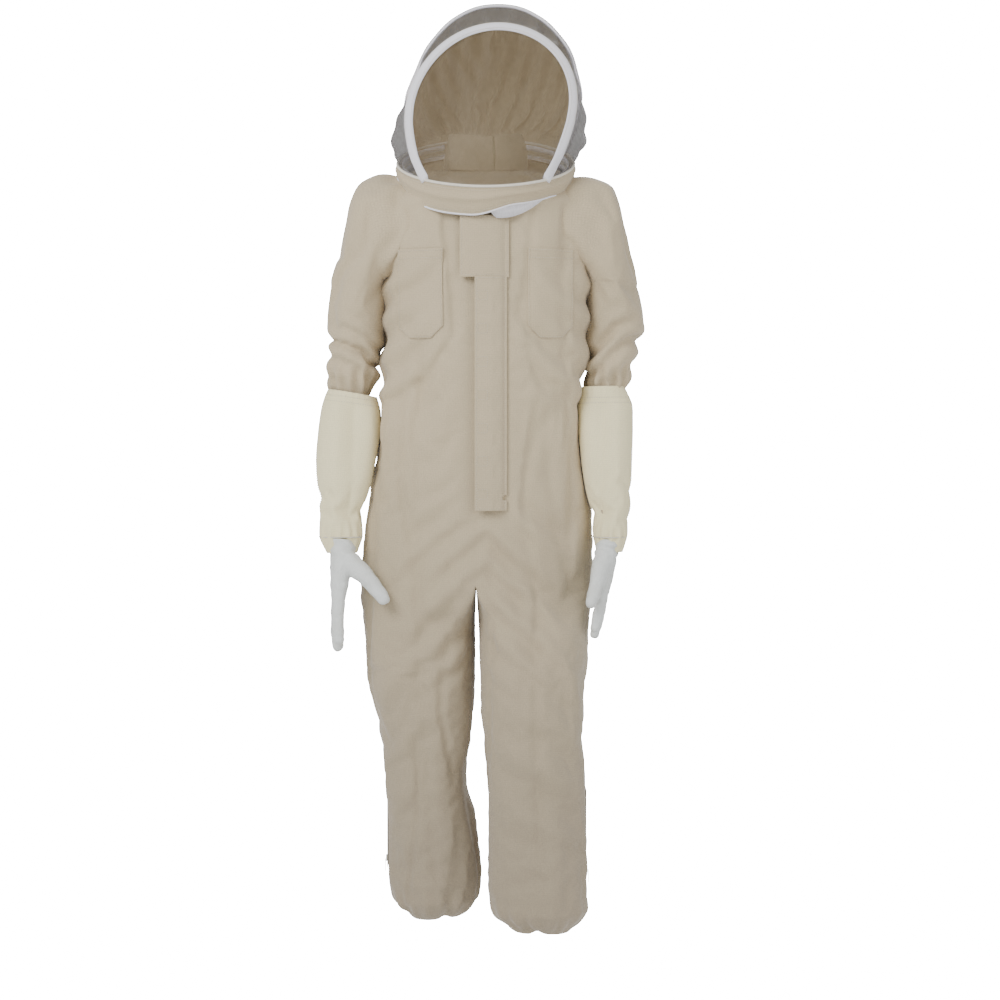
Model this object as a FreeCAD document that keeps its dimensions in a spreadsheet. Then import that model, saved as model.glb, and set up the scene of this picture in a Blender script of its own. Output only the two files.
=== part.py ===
"""Beekeeping suit: a zipped coverall with a hooped veil hood and a pair of gauntlet gloves.

Frame: millimetres, +Z up, the wearer faces -Y and the wearer's left is +X. The origin is on the ground plane of the
trouser cuffs, midway between the legs. Every cloth piece is a thin shell in the shape that it holds when worn.
"""

import FreeCAD, Part
import math
import os
import Sketcher

V = FreeCAD.Vector
doc = FreeCAD.newDocument("beekeeping_suit")
dims = doc.addObject("Spreadsheet::Sheet", "dims")
row_count = 0
subparts = []


# ---------------------------------------------------------------- spreadsheet

def cell(alias, value):
    """Writes one driving dimension, in millimetres or degrees, and returns the expression that reads it."""
    global row_count
    row_count += 1
    dims.set(f"A{row_count}", str(value))
    dims.setAlias(f"A{row_count}", alias)
    return f"dims.{alias}"


def value_of(alias):
    return float(dims.get(alias))


for alias, value in {
    "cloth": 2.0,            # wall of every cloth shell
    "seam_gap": 2.0,         # space between neighbouring panels
    "zip_half_slit": 7.5,    # half the slit that the front zip closes
    "zip_top": 1338.0,
    "zip_bottom": 846.0,
    "chest_front": 130.0,    # the flat front of the body lies at y = -chest_front
    "zip_middle": 132.05,    # the middle of the front zip's tapes lies at y = -zip_middle
    "tape_wide": 11.0,
    "ring_tape_edge": 14.0,  # from the middle of the round zip to the edge of its tape
    "tape_thick": 1.1,
    "post_half": 1.5,        # half the space between the two rows of teeth, for the slider's post
    "teeth_wide": 2.6,
    "teeth_thick": 2.4,
    "flap_inner": 141.0,     # the inner face of both front flaps lies at y = -flap_inner
    "flap_free_edge": -18.0,
    "flap_sewn_edge": 42.0,
    "placket_bottom": 838.0,
    "placket_top": 1230.0,
    "throat_left": -50.0,
    "throat_bottom": 1236.0,
    "throat_top": 1343.0,
    "ring_radius": 160.0,    # neck zip, a circle tilted down at the front
    "ring_y": -12.0,
    "ring_z": 1452.0,
    "ring_tilt": 24.0,
    "ring_back": 138.0,      # the neck zip stops this far behind its own centre
    "skirt_high": 40.0,      # the hood's cloth skirt above the neck zip
    "hoop_front_y": -100.0,
    "hoop_rear_y": 45.0,
    "cane_wide": 5.0,
    "binding_wide": 20.0,
    "pocket_inner": 78.0,
    "pocket_outer": 157.0,
    "pocket_top": 1295.0,
    "pocket_bottom": 1110.0,
    "armhole_x": 160.0,
    "armhole_bottom": 1225.0,
    "sleeve_x": 166.0,
    "finger_radius": 10.0,
    "loop_radius": 12.0,
    "loop_wide": 8.0,
    "loop_thick": 1.8,
    "loop_z": 1352.0,
}.items():
    cell(alias, value)

# Stations of each cloth form, from one end to the other:
# name, half width, half depth, corner radius, x, y, z, pitch about X in degrees.
TORSO = [
    ("hip", 213, 135, 100, 0, 5, 835, 0),
    ("waist", 196, 122, 95, 0, -8, 965, 0),
    ("chest", 200, 130, 95, 0, 0, 1150, 0),
    ("armpit", 200, 124, 95, 0, -6, 1345, 0),
    ("shoulder", 184, 124, 95, 0, -6, 1390, 12),
    ("rim", 158, 158, 156, 0, -12, 1436, 24),
]
NECK_YOKE = [
    ("rim", 152, 152, 150, 0, -12, 1434, 24),
    ("neck", 100, 92, 80, 0, -2, 1452, 20),
]
COLLAR = [
    ("foot", 90, 80, 70, 0, 0, 1455, 10),
    ("top", 86, 76, 68, 0, 2, 1520, 6),
]
HOOD = [
    ("hem", 163, 163, 161, 0, -12, 1452, 24),
    ("skirt", 171, 166, 150, 0, -6, 1500, 19),
    ("cheek", 182, 166, 122, 0, 2, 1572, 9),
    ("temple", 178, 160, 118, 0, 12, 1655, 0),
    ("brow", 148, 132, 108, 0, 24, 1726, 0),
    ("crown", 98, 90, 82, 0, 38, 1780, 0),
    ("top", 42, 40, 38, 0, 42, 1804, 0),
]
THIGH = [
    ("top", 74, 74, 66, 111, 0, 880, 0),
    ("pivot", 92, 104, 84, 111, 0, 835, 0),
    ("seat", 96, 106, 86, 111, 0, 760, 0),
    ("mid", 96, 108, 86, 111, -14, 640, 0),
    ("rim", 88, 92, 78, 106, -30, 490, 0),
]
SHIN = [
    ("top", 40, 36, 34, 104, -34, 475, 0),
    ("patella", 66, 58, 54, 104, -34, 455, 0),
    ("knee", 79, 72, 66, 104, -34, 415, 0),
    ("calf", 84, 80, 74, 103, -38, 300, 0),
    ("blouse", 86, 84, 76, 103, -44, 95, 0),
    ("fold", 72, 70, 66, 103, -46, 45, 0),
    ("cuff", 50, 50, 48, 103, -47, 0, 0),
]
UPPER_SLEEVE = [
    ("crown", 22, 36, 20, 226, 0, 1432, 0),
    ("cap", 42, 64, 40, 213, 0, 1414, 0),
    ("head", 52, 86, 50, 216, 0, 1385, 0),
    ("ball", 60, 97, 57, 218, 0, 1335, 0),
    ("under", 60, 90, 56, 222, 0, 1292, 0),
    ("arm", 42, 82, 40, 249, 0, 1255, 0),
    ("puff", 47, 70, 45, 254, 0, 1190, 0),
    ("rim", 46, 62, 44, 254, 0, 1160, 0),
]
LOWER_SLEEVE = [
    ("top", 26, 24, 22, 255, 0, 1142, 0),
    ("elbow", 43, 43, 41, 255, 0, 1105, 0),
    ("fold", 34, 36, 32, 257, -5, 1052, 0),
    ("cuff", 29, 29, 28, 265, -53, 765, 0),
]
GAUNTLET = [
    ("mouth", 50, 46, 44, 258, -7, 1040, 0),
    ("wide", 50, 48, 46, 259, -15, 1000, 0),
    ("narrow", 35, 38, 34, 265, -52, 775, 0),
    ("wrist", 32, 35, 31, 266, -57, 738, 0),
]
PALM = [
    ("wrist", 29, 32, 27, 266, -57, 736, 0),
    ("heel", 22, 38, 20, 267, -62, 700, 0),
    ("knuckles", 17, 42, 15, 268, -68, 650, 0),
]
# How far each leg stands forward of the form above at the knee and at the cuff.
STRIDE = {"left": -52.0, "right": 44.0}


def read_form(form, stations):
    for station, *numbers in stations:
        for column, number in zip(("w", "d", "corner", "x", "y", "z", "pitch"), numbers):
            cell(f"{form}_{station}_{column}", number)


for form, stations in {
    "torso": TORSO, "yoke": NECK_YOKE, "collar": COLLAR, "hood": HOOD, "thigh": THIGH, "shin": SHIN,
    "upper_sleeve": UPPER_SLEEVE, "lower_sleeve": LOWER_SLEEVE, "gauntlet": GAUNTLET, "palm": PALM,
}.items():
    read_form(form, stations)
doc.recompute()


# ---------------------------------------------------------------- solids

def bind(obj, **expressions):
    for prop, expression in expressions.items():
        obj.setExpression(prop.replace("__", "."), str(expression))
    return obj


def place(obj, x=0, y=0, z=0):
    return bind(obj, Placement__Base__x=x, Placement__Base__y=y, Placement__Base__z=z)


def outline(name, size, offset, key, x, y, z, pitch):
    """A rounded rectangle, as one cross-section of a cloth form. pitch turns it about X, front down.
    size starts the sketch at its final half width, half depth and corner radius; the sheet then holds them."""
    sketch = doc.addObject("Sketcher::SketchObject", name)
    w, d, r = (number + offset for number in size)
    centres = [V(w - r, r - d, 0), V(w - r, d - r, 0), V(r - w, d - r, 0), V(r - w, r - d, 0)]
    ends = [
        (V(r - w, -d, 0), V(w - r, -d, 0)),
        (V(w, r - d, 0), V(w, d - r, 0)),
        (V(w - r, d, 0), V(r - w, d, 0)),
        (V(-w, d - r, 0), V(-w, r - d, 0)),
    ]
    sides, arcs = [], []
    for k in range(4):
        sides.append(sketch.addGeometry(Part.LineSegment(*ends[k]), False))
        circle = Part.Circle(centres[k], V(0, 0, 1), r)
        start = math.radians(90 * k - 90)
        arcs.append(sketch.addGeometry(Part.ArcOfCircle(circle, start, start + math.pi / 2), False))
    first, last = 1, 2
    for k in range(4):
        sketch.addConstraint(Sketcher.Constraint("Tangent", sides[k], last, arcs[k], first))
        sketch.addConstraint(Sketcher.Constraint("Tangent", arcs[k], last, sides[(k + 1) % 4], first))
    for k in (1, 2, 3):
        sketch.addConstraint(Sketcher.Constraint("Equal", arcs[0], arcs[k]))
    horizontal_axis, vertical_axis = -1, -2
    sketch.addConstraint(Sketcher.Constraint("Symmetric", sides[0], first, sides[0], last, vertical_axis))
    sketch.addConstraint(Sketcher.Constraint("Symmetric", sides[1], first, sides[1], last, horizontal_axis))
    wide = sketch.addConstraint(Sketcher.Constraint("DistanceX", sides[3], first, sides[1], first, 2 * w))
    deep = sketch.addConstraint(Sketcher.Constraint("DistanceY", sides[0], first, sides[2], first, 2 * d))
    bend = sketch.addConstraint(Sketcher.Constraint("Radius", arcs[0], r))
    sketch.setExpression(f"Constraints[{wide}]", f"2 * ({key}w + {offset})")
    sketch.setExpression(f"Constraints[{deep}]", f"2 * ({key}d + {offset})")
    sketch.setExpression(f"Constraints[{bend}]", f"{key}corner + {offset}")
    place(sketch, x, y, z)
    sketch.Placement.Rotation = FreeCAD.Rotation(V(1, 0, 0), pitch)
    return sketch


def form_solid(name, form, stations, offset=0.0, side=1, stride=None, lift_top=False):
    """A lofted solid through a form's stations, grown by offset. side is -1 for the wearer's right.
    stride gives the forward shift of each station; lift_top moves a closed top out by the offset too."""
    sections = []
    for k, (station, *numbers) in enumerate(stations):
        key = f"dims.{form}_{station}_"
        lift = offset if lift_top and k == len(stations) - 1 else 0
        shift = stride[k] if stride else 0
        sections.append(outline(f"{name}_{station}", numbers[:3], offset, key, f"{side} * {key}x",
                                f"{key}y + {shift}", f"{key}z + {lift}", numbers[-1]))
    loft = doc.addObject("Part::Loft", name)
    loft.Sections = sections
    loft.Solid = True
    loft.Ruled = True
    return loft


def pair(kind, name, base, tool):
    obj = doc.addObject(kind, name)
    obj.Base = base
    obj.Tool = tool
    return obj


def cut(name, base, tool):
    return pair("Part::Cut", name, base, tool)


def common(name, base, tool):
    return pair("Part::Common", name, base, tool)


def fuse(name, *shapes):
    obj = doc.addObject("Part::MultiFuse", name)
    obj.Shapes = list(shapes)
    return obj


def shell(name, form, stations, inner, outer, **options):
    """The cloth between two offsets of a form, in millimetres outside its stations."""
    return cut(
        name,
        form_solid(name + "_out", form, stations, outer, **options),
        form_solid(name + "_in", form, stations, inner, **options),
    )


def box(name, x0, x1, y0, y1, z0, z1):
    obj = doc.addObject("Part::Box", name)
    bind(obj, Length=f"({x1}) - ({x0})", Width=f"({y1}) - ({y0})", Height=f"({z1}) - ({z0})")
    return place(obj, x0, y0, z0)


def tube(name, outer, inner, low, high):
    """An upright tube about its own Z axis."""
    walls = []
    for tag, radius, extra in (("_out", outer, 0), ("_in", inner, 1)):
        rod = doc.addObject("Part::Cylinder", name + tag)
        bind(rod, Radius=radius, Height=f"({high}) - ({low}) + {2 * extra}")
        walls.append(place(rod, z=f"({low}) - {extra}"))
    return cut(name, *walls)


def ring_frame():
    """Where the neck zip's circle lies: its own Z axis leans forward by the tilt."""
    tilt = FreeCAD.Rotation(V(1, 0, 0), value_of("ring_tilt"))
    return FreeCAD.Placement(V(0, value_of("ring_y"), value_of("ring_z")), tilt)


def on_ring(obj, turn=0):
    """Puts an object that was built about the origin onto the neck zip, turned about the zip's axis."""
    frame = ring_frame().multiply(FreeCAD.Placement(V(0, 0, 0), FreeCAD.Rotation(V(0, 0, 1), turn)))
    obj.Placement = frame
    bind(obj, Placement__Base__y="dims.ring_y", Placement__Base__z="dims.ring_z")
    return obj


def keep(obj, label):
    """Marks an object as a sub-part. Its Label names its file."""
    obj.Label = label
    subparts.append(obj)
    return obj


FAR = 900
SIDES = {"left": 1, "right": -1}


# ---------------------------------------------------------------- coverall body

def torso_panels():
    cloth = shell("torso_cloth", "torso", TORSO, -value_of("cloth"), 0)
    cuts = [box(f"armhole_{word}", *(("dims.armhole_x", FAR) if side > 0 else (-FAR, "-dims.armhole_x")),
                -FAR, FAR, "dims.armhole_bottom", 1600) for word, side in SIDES.items()]
    open_cloth = cut("torso_open", cloth, fuse("armholes", *cuts))
    slit, gap = "dims.zip_half_slit", "dims.seam_gap / 2"
    waist, yoke = "dims.torso_waist_z", 1300
    for word, side in SIDES.items():
        x0, x1 = (slit, FAR) if side > 0 else (-FAR, f"-{slit}")
        keep(common(f"front_{word}_cut", open_cloth,
                    box(f"front_{word}_box", x0, x1, -FAR, -1, f"{waist} + {gap}", 1600)), f"front_panel_{word}")
        keep(common(f"seat_{word}_cut", open_cloth,
                    box(f"seat_{word}_box", x0, x1, -FAR, -1, 800, f"{waist} - {gap}")), f"seat_front_{word}")
    keep(common("back_cut", open_cloth, box("back_box", -FAR, FAR, 1, FAR, f"{waist} + {gap}", f"{yoke} - {gap}")),
         "back_panel")
    keep(common("yoke_cut", open_cloth, box("yoke_box", -FAR, FAR, 1, FAR, f"{yoke} + {gap}", 1600)), "back_yoke")
    keep(common("seat_back_cut", open_cloth, box("seat_back_box", -FAR, FAR, 1, FAR, 800, f"{waist} - {gap}")),
         "seat_back")
    lining = shell("waist_lining", "torso", TORSO, -6, -3.5)
    keep(common("waist_elastic_cut", lining, box("waist_elastic_box", -FAR, FAR, 20, FAR, 945, 985)),
         "waist_elastic")


def neck_parts():
    keep(shell("yoke_cloth", "yoke", NECK_YOKE, -6, 0), "neck_yoke")
    collar = shell("collar_cloth", "collar", COLLAR, -value_of("cloth"), 0)
    keep(cut("collar_cut", collar, box("collar_gap", -6, 6, -FAR, 0, 1400, 1600)), "stand_collar")


def hang_loop():
    """A folded tape ring behind the upper back, sewn to it by a short tab."""
    body = doc.addObject("PartDesign::Body", "hang_loop")
    plane = next(o for o in body.Origin.OriginFeatures if o.Role == "XZ_Plane")
    sketch = body.newObject("Sketcher::SketchObject", "hang_loop_outline")
    sketch.AttachmentSupport = [(plane, "")]
    sketch.MapMode = "FlatFace"
    for radius in ("dims.loop_radius", "dims.loop_radius + dims.loop_thick"):
        circle = sketch.addGeometry(Part.Circle(V(0, 0, 0), V(0, 0, 1), 5), False)
        sketch.addConstraint(Sketcher.Constraint("Coincident", circle, 3, -1, 1))
        size = sketch.addConstraint(Sketcher.Constraint("Radius", circle, 5))
        sketch.setExpression(f"Constraints[{size}]", radius)
    pad = body.newObject("PartDesign::Pad", "hang_loop_tape")
    pad.Profile = sketch
    bind(pad, Length="dims.loop_wide")
    pad.Reversed = True
    back = "dims.torso_armpit_y + dims.torso_armpit_d"
    place(body, 0, f"{back} + 3", "dims.loop_z")
    keep(body, "hang_loop")


# ---------------------------------------------------------------- zips

def slider(name, label, direction, position, turn):
    """A zip slider with its pull, as two solids. It runs along its own Z and faces its own -Y.
    direction is +1 when the pull hangs to -Z, and -1 when it points to +Z."""
    body = doc.addObject("PartDesign::Body", name + "_body")
    plane = next(o for o in body.Origin.OriginFeatures if o.Role == "XY_Plane")
    sketch = body.newObject("Sketcher::SketchObject", name + "_section")
    sketch.AttachmentSupport = [(plane, "")]
    sketch.MapMode = "FlatFace"
    half, post, near, far = 5.0, 1.0, 1.7, 3.6
    points = [
        (-half, -far), (half, -far), (half, -near), (post, -near), (post, near), (half, near), (half, far),
        (-half, far), (-half, near), (-post, near), (-post, -near), (-half, -near),
    ]
    for k, (x, y) in enumerate(points):
        x2, y2 = points[(k + 1) % len(points)]
        sketch.addGeometry(Part.LineSegment(V(x, y, 0), V(x2, y2, 0)), False)
    for k in range(len(points)):
        sketch.addConstraint(Sketcher.Constraint("Coincident", k, 2, (k + 1) % len(points), 1))
    pad = body.newObject("PartDesign::Pad", name + "_pad")
    pad.Profile = sketch
    pad.Length = 12.0
    pad.Midplane = True
    pull_plate = doc.addObject("Part::Box", name + "_plate")
    pull_plate.Length, pull_plate.Width, pull_plate.Height = 6.0, 1.2, 24.0
    low = -26.0 if direction > 0 else 2.0
    pull_plate.Placement.Base = V(-3, -5.6, low)
    eye = doc.addObject("Part::Cylinder", name + "_eye")
    eye.Radius, eye.Height = 1.6, 4.0
    eye.Placement = FreeCAD.Placement(V(0, -3.6, low + (3.2 if direction > 0 else 20.8)),
                                      FreeCAD.Rotation(V(1, 0, 0), 90))
    pull = cut(name + "_pull", pull_plate, eye)
    both = doc.addObject("Part::Compound", name)
    both.Links = [body, pull]
    both.Placement = FreeCAD.Placement(position, turn)
    return keep(both, label)


def front_zip():
    tapes, teeth = [], []
    for word, side in SIDES.items():
        for found, near, far, thick, low, high in (
            (tapes, "dims.post_half + dims.teeth_wide + 0.4", "dims.zip_half_slit + dims.tape_wide",
             "dims.tape_thick", "dims.zip_bottom", "dims.zip_top"),
            (teeth, "dims.post_half", "dims.post_half + dims.teeth_wide", "dims.teeth_thick",
             "dims.zip_bottom + 4", "dims.zip_top - 2"),
        ):
            x0, x1 = (near, far) if side > 0 else (f"-({far})", f"-({near})")
            found.append(box(f"front_strip_{word}_{len(tapes)}_{len(teeth)}", x0, x1,
                             f"-dims.zip_middle - {thick} / 2", f"-dims.zip_middle + {thick} / 2", low, high))
    for found, label in ((tapes, "front_zip_tapes"), (teeth, "front_zip_teeth")):
        both = doc.addObject("Part::Compound", label + "_pair")
        both.Links = found
        keep(both, label)
    keep(box("front_stop", -5, 5, "-dims.zip_middle - 2.5", "-dims.zip_middle + 2.5", "dims.zip_bottom - 4",
             "dims.zip_bottom - 1"), "front_zip_bottom_stop")
    slider("front_slider", "front_zip_slider", 1, V(0, -value_of("zip_middle"), value_of("zip_top") - 10),
           FreeCAD.Rotation())


def neck_zip():
    """Both halves of the round zip, about the ring's own axis. They stop short of the nape."""
    radius = "dims.ring_radius"
    reach = "dims.post_half + dims.teeth_wide"
    for label, thick, near, far in (("tape", "dims.tape_thick / 2", f"{reach} + 0.4", "dims.ring_tape_edge"),
                                    ("teeth", "dims.teeth_thick / 2", "dims.post_half", reach)):
        for half, low, high in (("lower", f"-({far})", f"-({near})"), ("upper", near, far)):
            name = f"{half}_{label}"
            band = tube(name, f"{radius} + {thick}", f"{radius} - {thick}", low, high)
            front = box(f"{name}_front", -FAR, FAR, -FAR, "dims.ring_back", -50, 50)
            keep(on_ring(common(f"{name}_cut", band, front)), f"neck_zip_{half}_{label}")
    for word, side in SIDES.items():
        start = FreeCAD.Rotation(V(0, 0, 1), side * NECK_SLIDER_START)
        along = FreeCAD.Rotation(V(0, 1, 0), side * 90)
        outward = V(0, -value_of("ring_radius"), 0)
        spot = ring_frame().multiply(FreeCAD.Placement(start.multVec(outward), start.multiply(along)))
        slider(f"neck_slider_{word}", f"neck_zip_slider_{word}", -1, spot.Base, spot.Rotation)


NECK_SLIDER_START = 6.0


# ---------------------------------------------------------------- flaps and pockets

def flap(name, label, left, low, high):
    """A front flap: a flat plate and the fold at its sewn edge, which turns in towards the chest."""
    plate = box(f"{name}_plate", left, "dims.flap_sewn_edge", "-dims.flap_inner - dims.cloth", "-dims.flap_inner",
                low, high)
    fold = box(f"{name}_fold", "dims.flap_sewn_edge - dims.cloth", "dims.flap_sewn_edge", "-dims.flap_inner - 1",
               "-dims.chest_front - 3", low, high)
    keep(fuse(f"{name}_fuse", plate, fold), label)


def flaps():
    inner = "-dims.flap_inner"
    flap("placket", "storm_placket", "dims.flap_free_edge", "dims.placket_bottom", "dims.placket_top")
    keep(box("placket_hook", "dims.flap_free_edge + 2", "dims.flap_free_edge + 14", f"{inner} + 0.8",
             f"{inner} + 2", "dims.placket_bottom + 10", "dims.placket_top - 10"), "placket_hook_tape")
    flap("throat", "throat_flap", "dims.throat_left", "dims.throat_bottom", "dims.throat_top")
    x0, x1 = "dims.throat_left + 5", "dims.throat_left + 27"
    z0, z1 = "dims.throat_bottom + 6", "dims.throat_bottom + 56"
    keep(box("throat_hook", x0, x1, f"{inner} + 0.8", f"{inner} + 2.2", z0, z1), "throat_hook_patch")
    keep(box("throat_loop", x0, x1, "-dims.chest_front - 3.4", "-dims.chest_front - 1.6", z0, z1),
         "throat_loop_patch")


def pockets():
    patch = shell("pocket_cloth", "torso", TORSO, 1.5, 3.5)
    for word, side in SIDES.items():
        x0, x1 = "dims.pocket_inner", "dims.pocket_outer"
        if side < 0:
            x0, x1 = f"-{x1}", f"-{x0}"
        keep(common(f"pocket_{word}_cut", patch,
                    box(f"pocket_{word}_box", x0, x1, -FAR, -5, "dims.pocket_bottom", "dims.pocket_top")),
             f"chest_pocket_{word}")


# ---------------------------------------------------------------- hood

def hood():
    def layer(name, inner, outer):
        return shell(name, "hood", HOOD, inner, outer, lift_top=True)

    def above_ring(name, low, high):
        slab = doc.addObject("Part::Box", name)
        slab.Length = slab.Width = 2 * FAR
        slab.Height = high - low
        slab.Placement = ring_frame().multiply(FreeCAD.Placement(V(-FAR, -FAR, low), FreeCAD.Rotation()))
        return slab

    skirt_high = value_of("skirt_high")

    cloth = layer("hood_cloth", -1, 0.5)
    upper = common("hood_cloth_upper", cloth, above_ring("above_skirt", skirt_high + 3, FAR))
    front, rear = "dims.hoop_front_y", "dims.hoop_rear_y"
    clear = "dims.cane_wide / 2 + 2"
    keep(common("window_cut", upper, box("window_box", -FAR, FAR, -FAR, f"{front} - ({clear})", 1300, 2000)),
         "veil_window_mesh")
    keep(common("crown_cut", upper, box("crown_box", -FAR, FAR, f"{front} + {clear}", f"{rear} - ({clear})", 1300,
                                        2000)), "veil_crown_mesh")
    keep(common("nape_cut", upper, box("nape_box", -FAR, FAR, f"{rear} + {clear}", FAR, 1300, 2000)),
         "hood_back_panel")
    skirt_slab = above_ring("skirt_slab", value_of("ring_tape_edge") + 1, skirt_high)
    keep(common("skirt_cut", cloth, skirt_slab), "hood_skirt")
    trim = layer("hood_trim", 2, 4)
    keep(common("piping_cut", trim, above_ring("piping_slab", skirt_high - 5, skirt_high + 1)),
         "hood_skirt_piping")
    cane = layer("hoop_cane", -4, 0.5)
    for word, place_y in (("front", front), ("rear", rear)):
        half = "dims.cane_wide / 2"
        rod = common(f"cane_{word}", cane, box(f"cane_{word}_box", -FAR, FAR, f"{place_y} - {half}",
                                               f"{place_y} + {half}", 1300, 2000))
        keep(common(f"cane_{word}_cut", rod, above_ring(f"cane_{word}_slab", skirt_high + 3, FAR)),
             f"{word}_hoop_cane")
        half = "dims.binding_wide / 2"
        band = common(f"strip_{word}", trim, box(f"strip_{word}_box", -FAR, FAR, f"{place_y} - {half}",
                                                  f"{place_y} + {half}", 1300, 2000))
        keep(common(f"strip_{word}_cut", band, above_ring(f"strip_{word}_slab", skirt_high + 3, FAR)),
             f"{word}_hoop_binding")


# ---------------------------------------------------------------- limbs

def band(name, label, inner, outer, x, y, z, high, lean=0):
    """An elastic band: a short tube about the limb, its axis leaning forward by lean degrees."""
    ring = tube(name, outer, inner, 0, high)
    ring.Placement = FreeCAD.Placement(V(x, y, z), FreeCAD.Rotation(V(1, 0, 0), -lean))
    return keep(ring, label)


def sleeves():
    cloth = value_of("cloth")
    for word, side in SIDES.items():
        hollow = shell(f"sleeve_{word}", "upper_sleeve", UPPER_SLEEVE, -cloth, 0, side=side)
        x0, x1 = ("dims.sleeve_x", FAR) if side > 0 else (-FAR, "-dims.sleeve_x")
        keep(common(f"sleeve_{word}_cut", hollow, box(f"sleeve_{word}_box", x0, x1, -FAR, FAR, 1000, 1600)),
             f"upper_sleeve_{word}")
        keep(shell(f"forearm_{word}", "lower_sleeve", LOWER_SLEEVE, -cloth, 0, side=side), f"lower_sleeve_{word}")
        band(f"sleeve_band_{word}", f"sleeve_cuff_elastic_{word}", 23.4, 25.0, side * 264.8, -51.6, 770, 12, 9.5)


def gloves():
    cloth = value_of("cloth")
    thumb_lean = {"left": 5.0, "right": 16.0}
    for word, side in SIDES.items():
        keep(shell(f"gauntlet_{word}", "gauntlet", GAUNTLET, -cloth, 0, side=side), f"gauntlet_{word}")
        band(f"wrist_band_{word}", f"wrist_elastic_{word}", 39, 40.5, side * 265.7, -55.2, 747, 12, 9.5)
        pieces = [shell(f"palm_{word}", "palm", PALM, -cloth, 0, side=side)]
        for k, (across, length) in enumerate(((-32, 78), (-10.6, 88), (10.6, 82), (32, 64))):
            pieces.append(finger(f"finger_{word}_{k}", length, V(side * 268, -68 + across, 647), V(0, 0, -1)))
        lean = math.radians(thumb_lean[word])
        aim = V(-side * math.sin(lean), -0.45, -math.cos(lean))
        pieces.append(finger(f"thumb_{word}", 66, V(side * 262, -112, 706), aim))
        hand = doc.addObject("Part::Compound", f"hand_{word}")
        hand.Links = pieces
        keep(hand, f"glove_hand_{word}")


def finger(name, length, base, aim):
    """A closed tube of glove leather that points along aim."""
    rods = []
    for tag, shrink in (("_out", 0.0), ("_in", value_of("cloth"))):
        rod = doc.addObject("Part::Cylinder", name + tag)
        bind(rod, Radius=f"dims.finger_radius - {shrink}", Height=length - shrink)
        rods.append(rod)
    tube_shell = cut(name, *rods)
    tube_shell.Placement = FreeCAD.Placement(base, FreeCAD.Rotation(V(0, 0, 1), aim))
    return tube_shell


def legs():
    cloth = value_of("cloth")
    for word, side in SIDES.items():
        step = STRIDE[word]
        thigh_stride = [0, 0, 0, 0.35 * step, 0.7 * step]
        shin_stride = [0.75 * step] * 3 + [0.85 * step] + [step] * 3
        keep(shell(f"thigh_{word}", "thigh", THIGH, -cloth, 0, side=side, stride=thigh_stride),
             f"upper_leg_{word}")
        leg = shell(f"shin_{word}", "shin", SHIN, -cloth, 0, side=side, stride=shin_stride)
        zip_y = -41 + 0.93 * step
        x0, x1 = (140, FAR) if side > 0 else (-FAR, -140)
        slot = box(f"ankle_slot_{word}", x0, x1, zip_y - 7, zip_y + 7, 100, 262)
        keep(cut(f"shin_{word}_cut", leg, slot), f"lower_leg_{word}")
        band(f"ankle_band_{word}", f"ankle_elastic_{word}", 44.5, 46.5, side * 103, -47 + step, 2, 18)
        ankle_zip(word, side, zip_y)


def ankle_zip(word, side, zip_y):
    """A short zip up the outside of the lower leg, with its slider at the bottom."""
    middle = side * (value_of("shin_blouse_x") + value_of("shin_blouse_w") + 2.6)
    strips = []
    for k in (-1, 1):
        for near, far, half_thick, low, high in ((4.5, 14, 0.5, 96, 266), (1.5, 4.1, 1.2, 100, 262)):
            y0, y1 = sorted((zip_y + k * near, zip_y + k * far))
            strips.append(box(f"ankle_strip_{word}_{len(strips)}", middle - half_thick, middle + half_thick, y0, y1,
                              low, high))
    both = doc.addObject("Part::Compound", f"ankle_zip_pair_{word}")
    both.Links = strips
    keep(both, f"ankle_zip_{word}")
    slider(f"ankle_slider_{word}", f"ankle_zip_slider_{word}", 1, V(middle, zip_y, 112),
           FreeCAD.Rotation(V(0, 0, 1), side * 90))


torso_panels()
neck_parts()
hang_loop()
front_zip()
neck_zip()
flaps()
pockets()
hood()
sleeves()
gloves()
legs()
doc.recompute()

failed = [o.Name for o in doc.Objects if {"Invalid", "Error"} & set(o.State)]
if failed:
    raise RuntimeError(f"these objects failed: {failed[:20]}")
for obj in subparts:
    shape = obj.Shape
    if shape.isNull() or not shape.isValid() or not shape.Solids:
        raise RuntimeError(f"{obj.Label} has no valid solid: null {shape.isNull()}")

os.makedirs("parts", exist_ok=True)
for obj in subparts:
    obj.Shape.exportStep(os.path.join("parts", obj.Label + ".step"))
print(f"{len(subparts)} sub-parts written")
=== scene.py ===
"""Beekeeping suit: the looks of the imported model, in metres, in the model's own frame.

The coverall and sleeves are coded tubes of cloth that Blender's Cloth wrinkles, the hood is net and cloth
stretched over two hoops, and everything sewn on is laid over the finished cloth.
"""

import bmesh
import bpy
import math
import numpy as np
from mathutils import Matrix, Vector, noise
from mathutils.bvhtree import BVHTree


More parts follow.
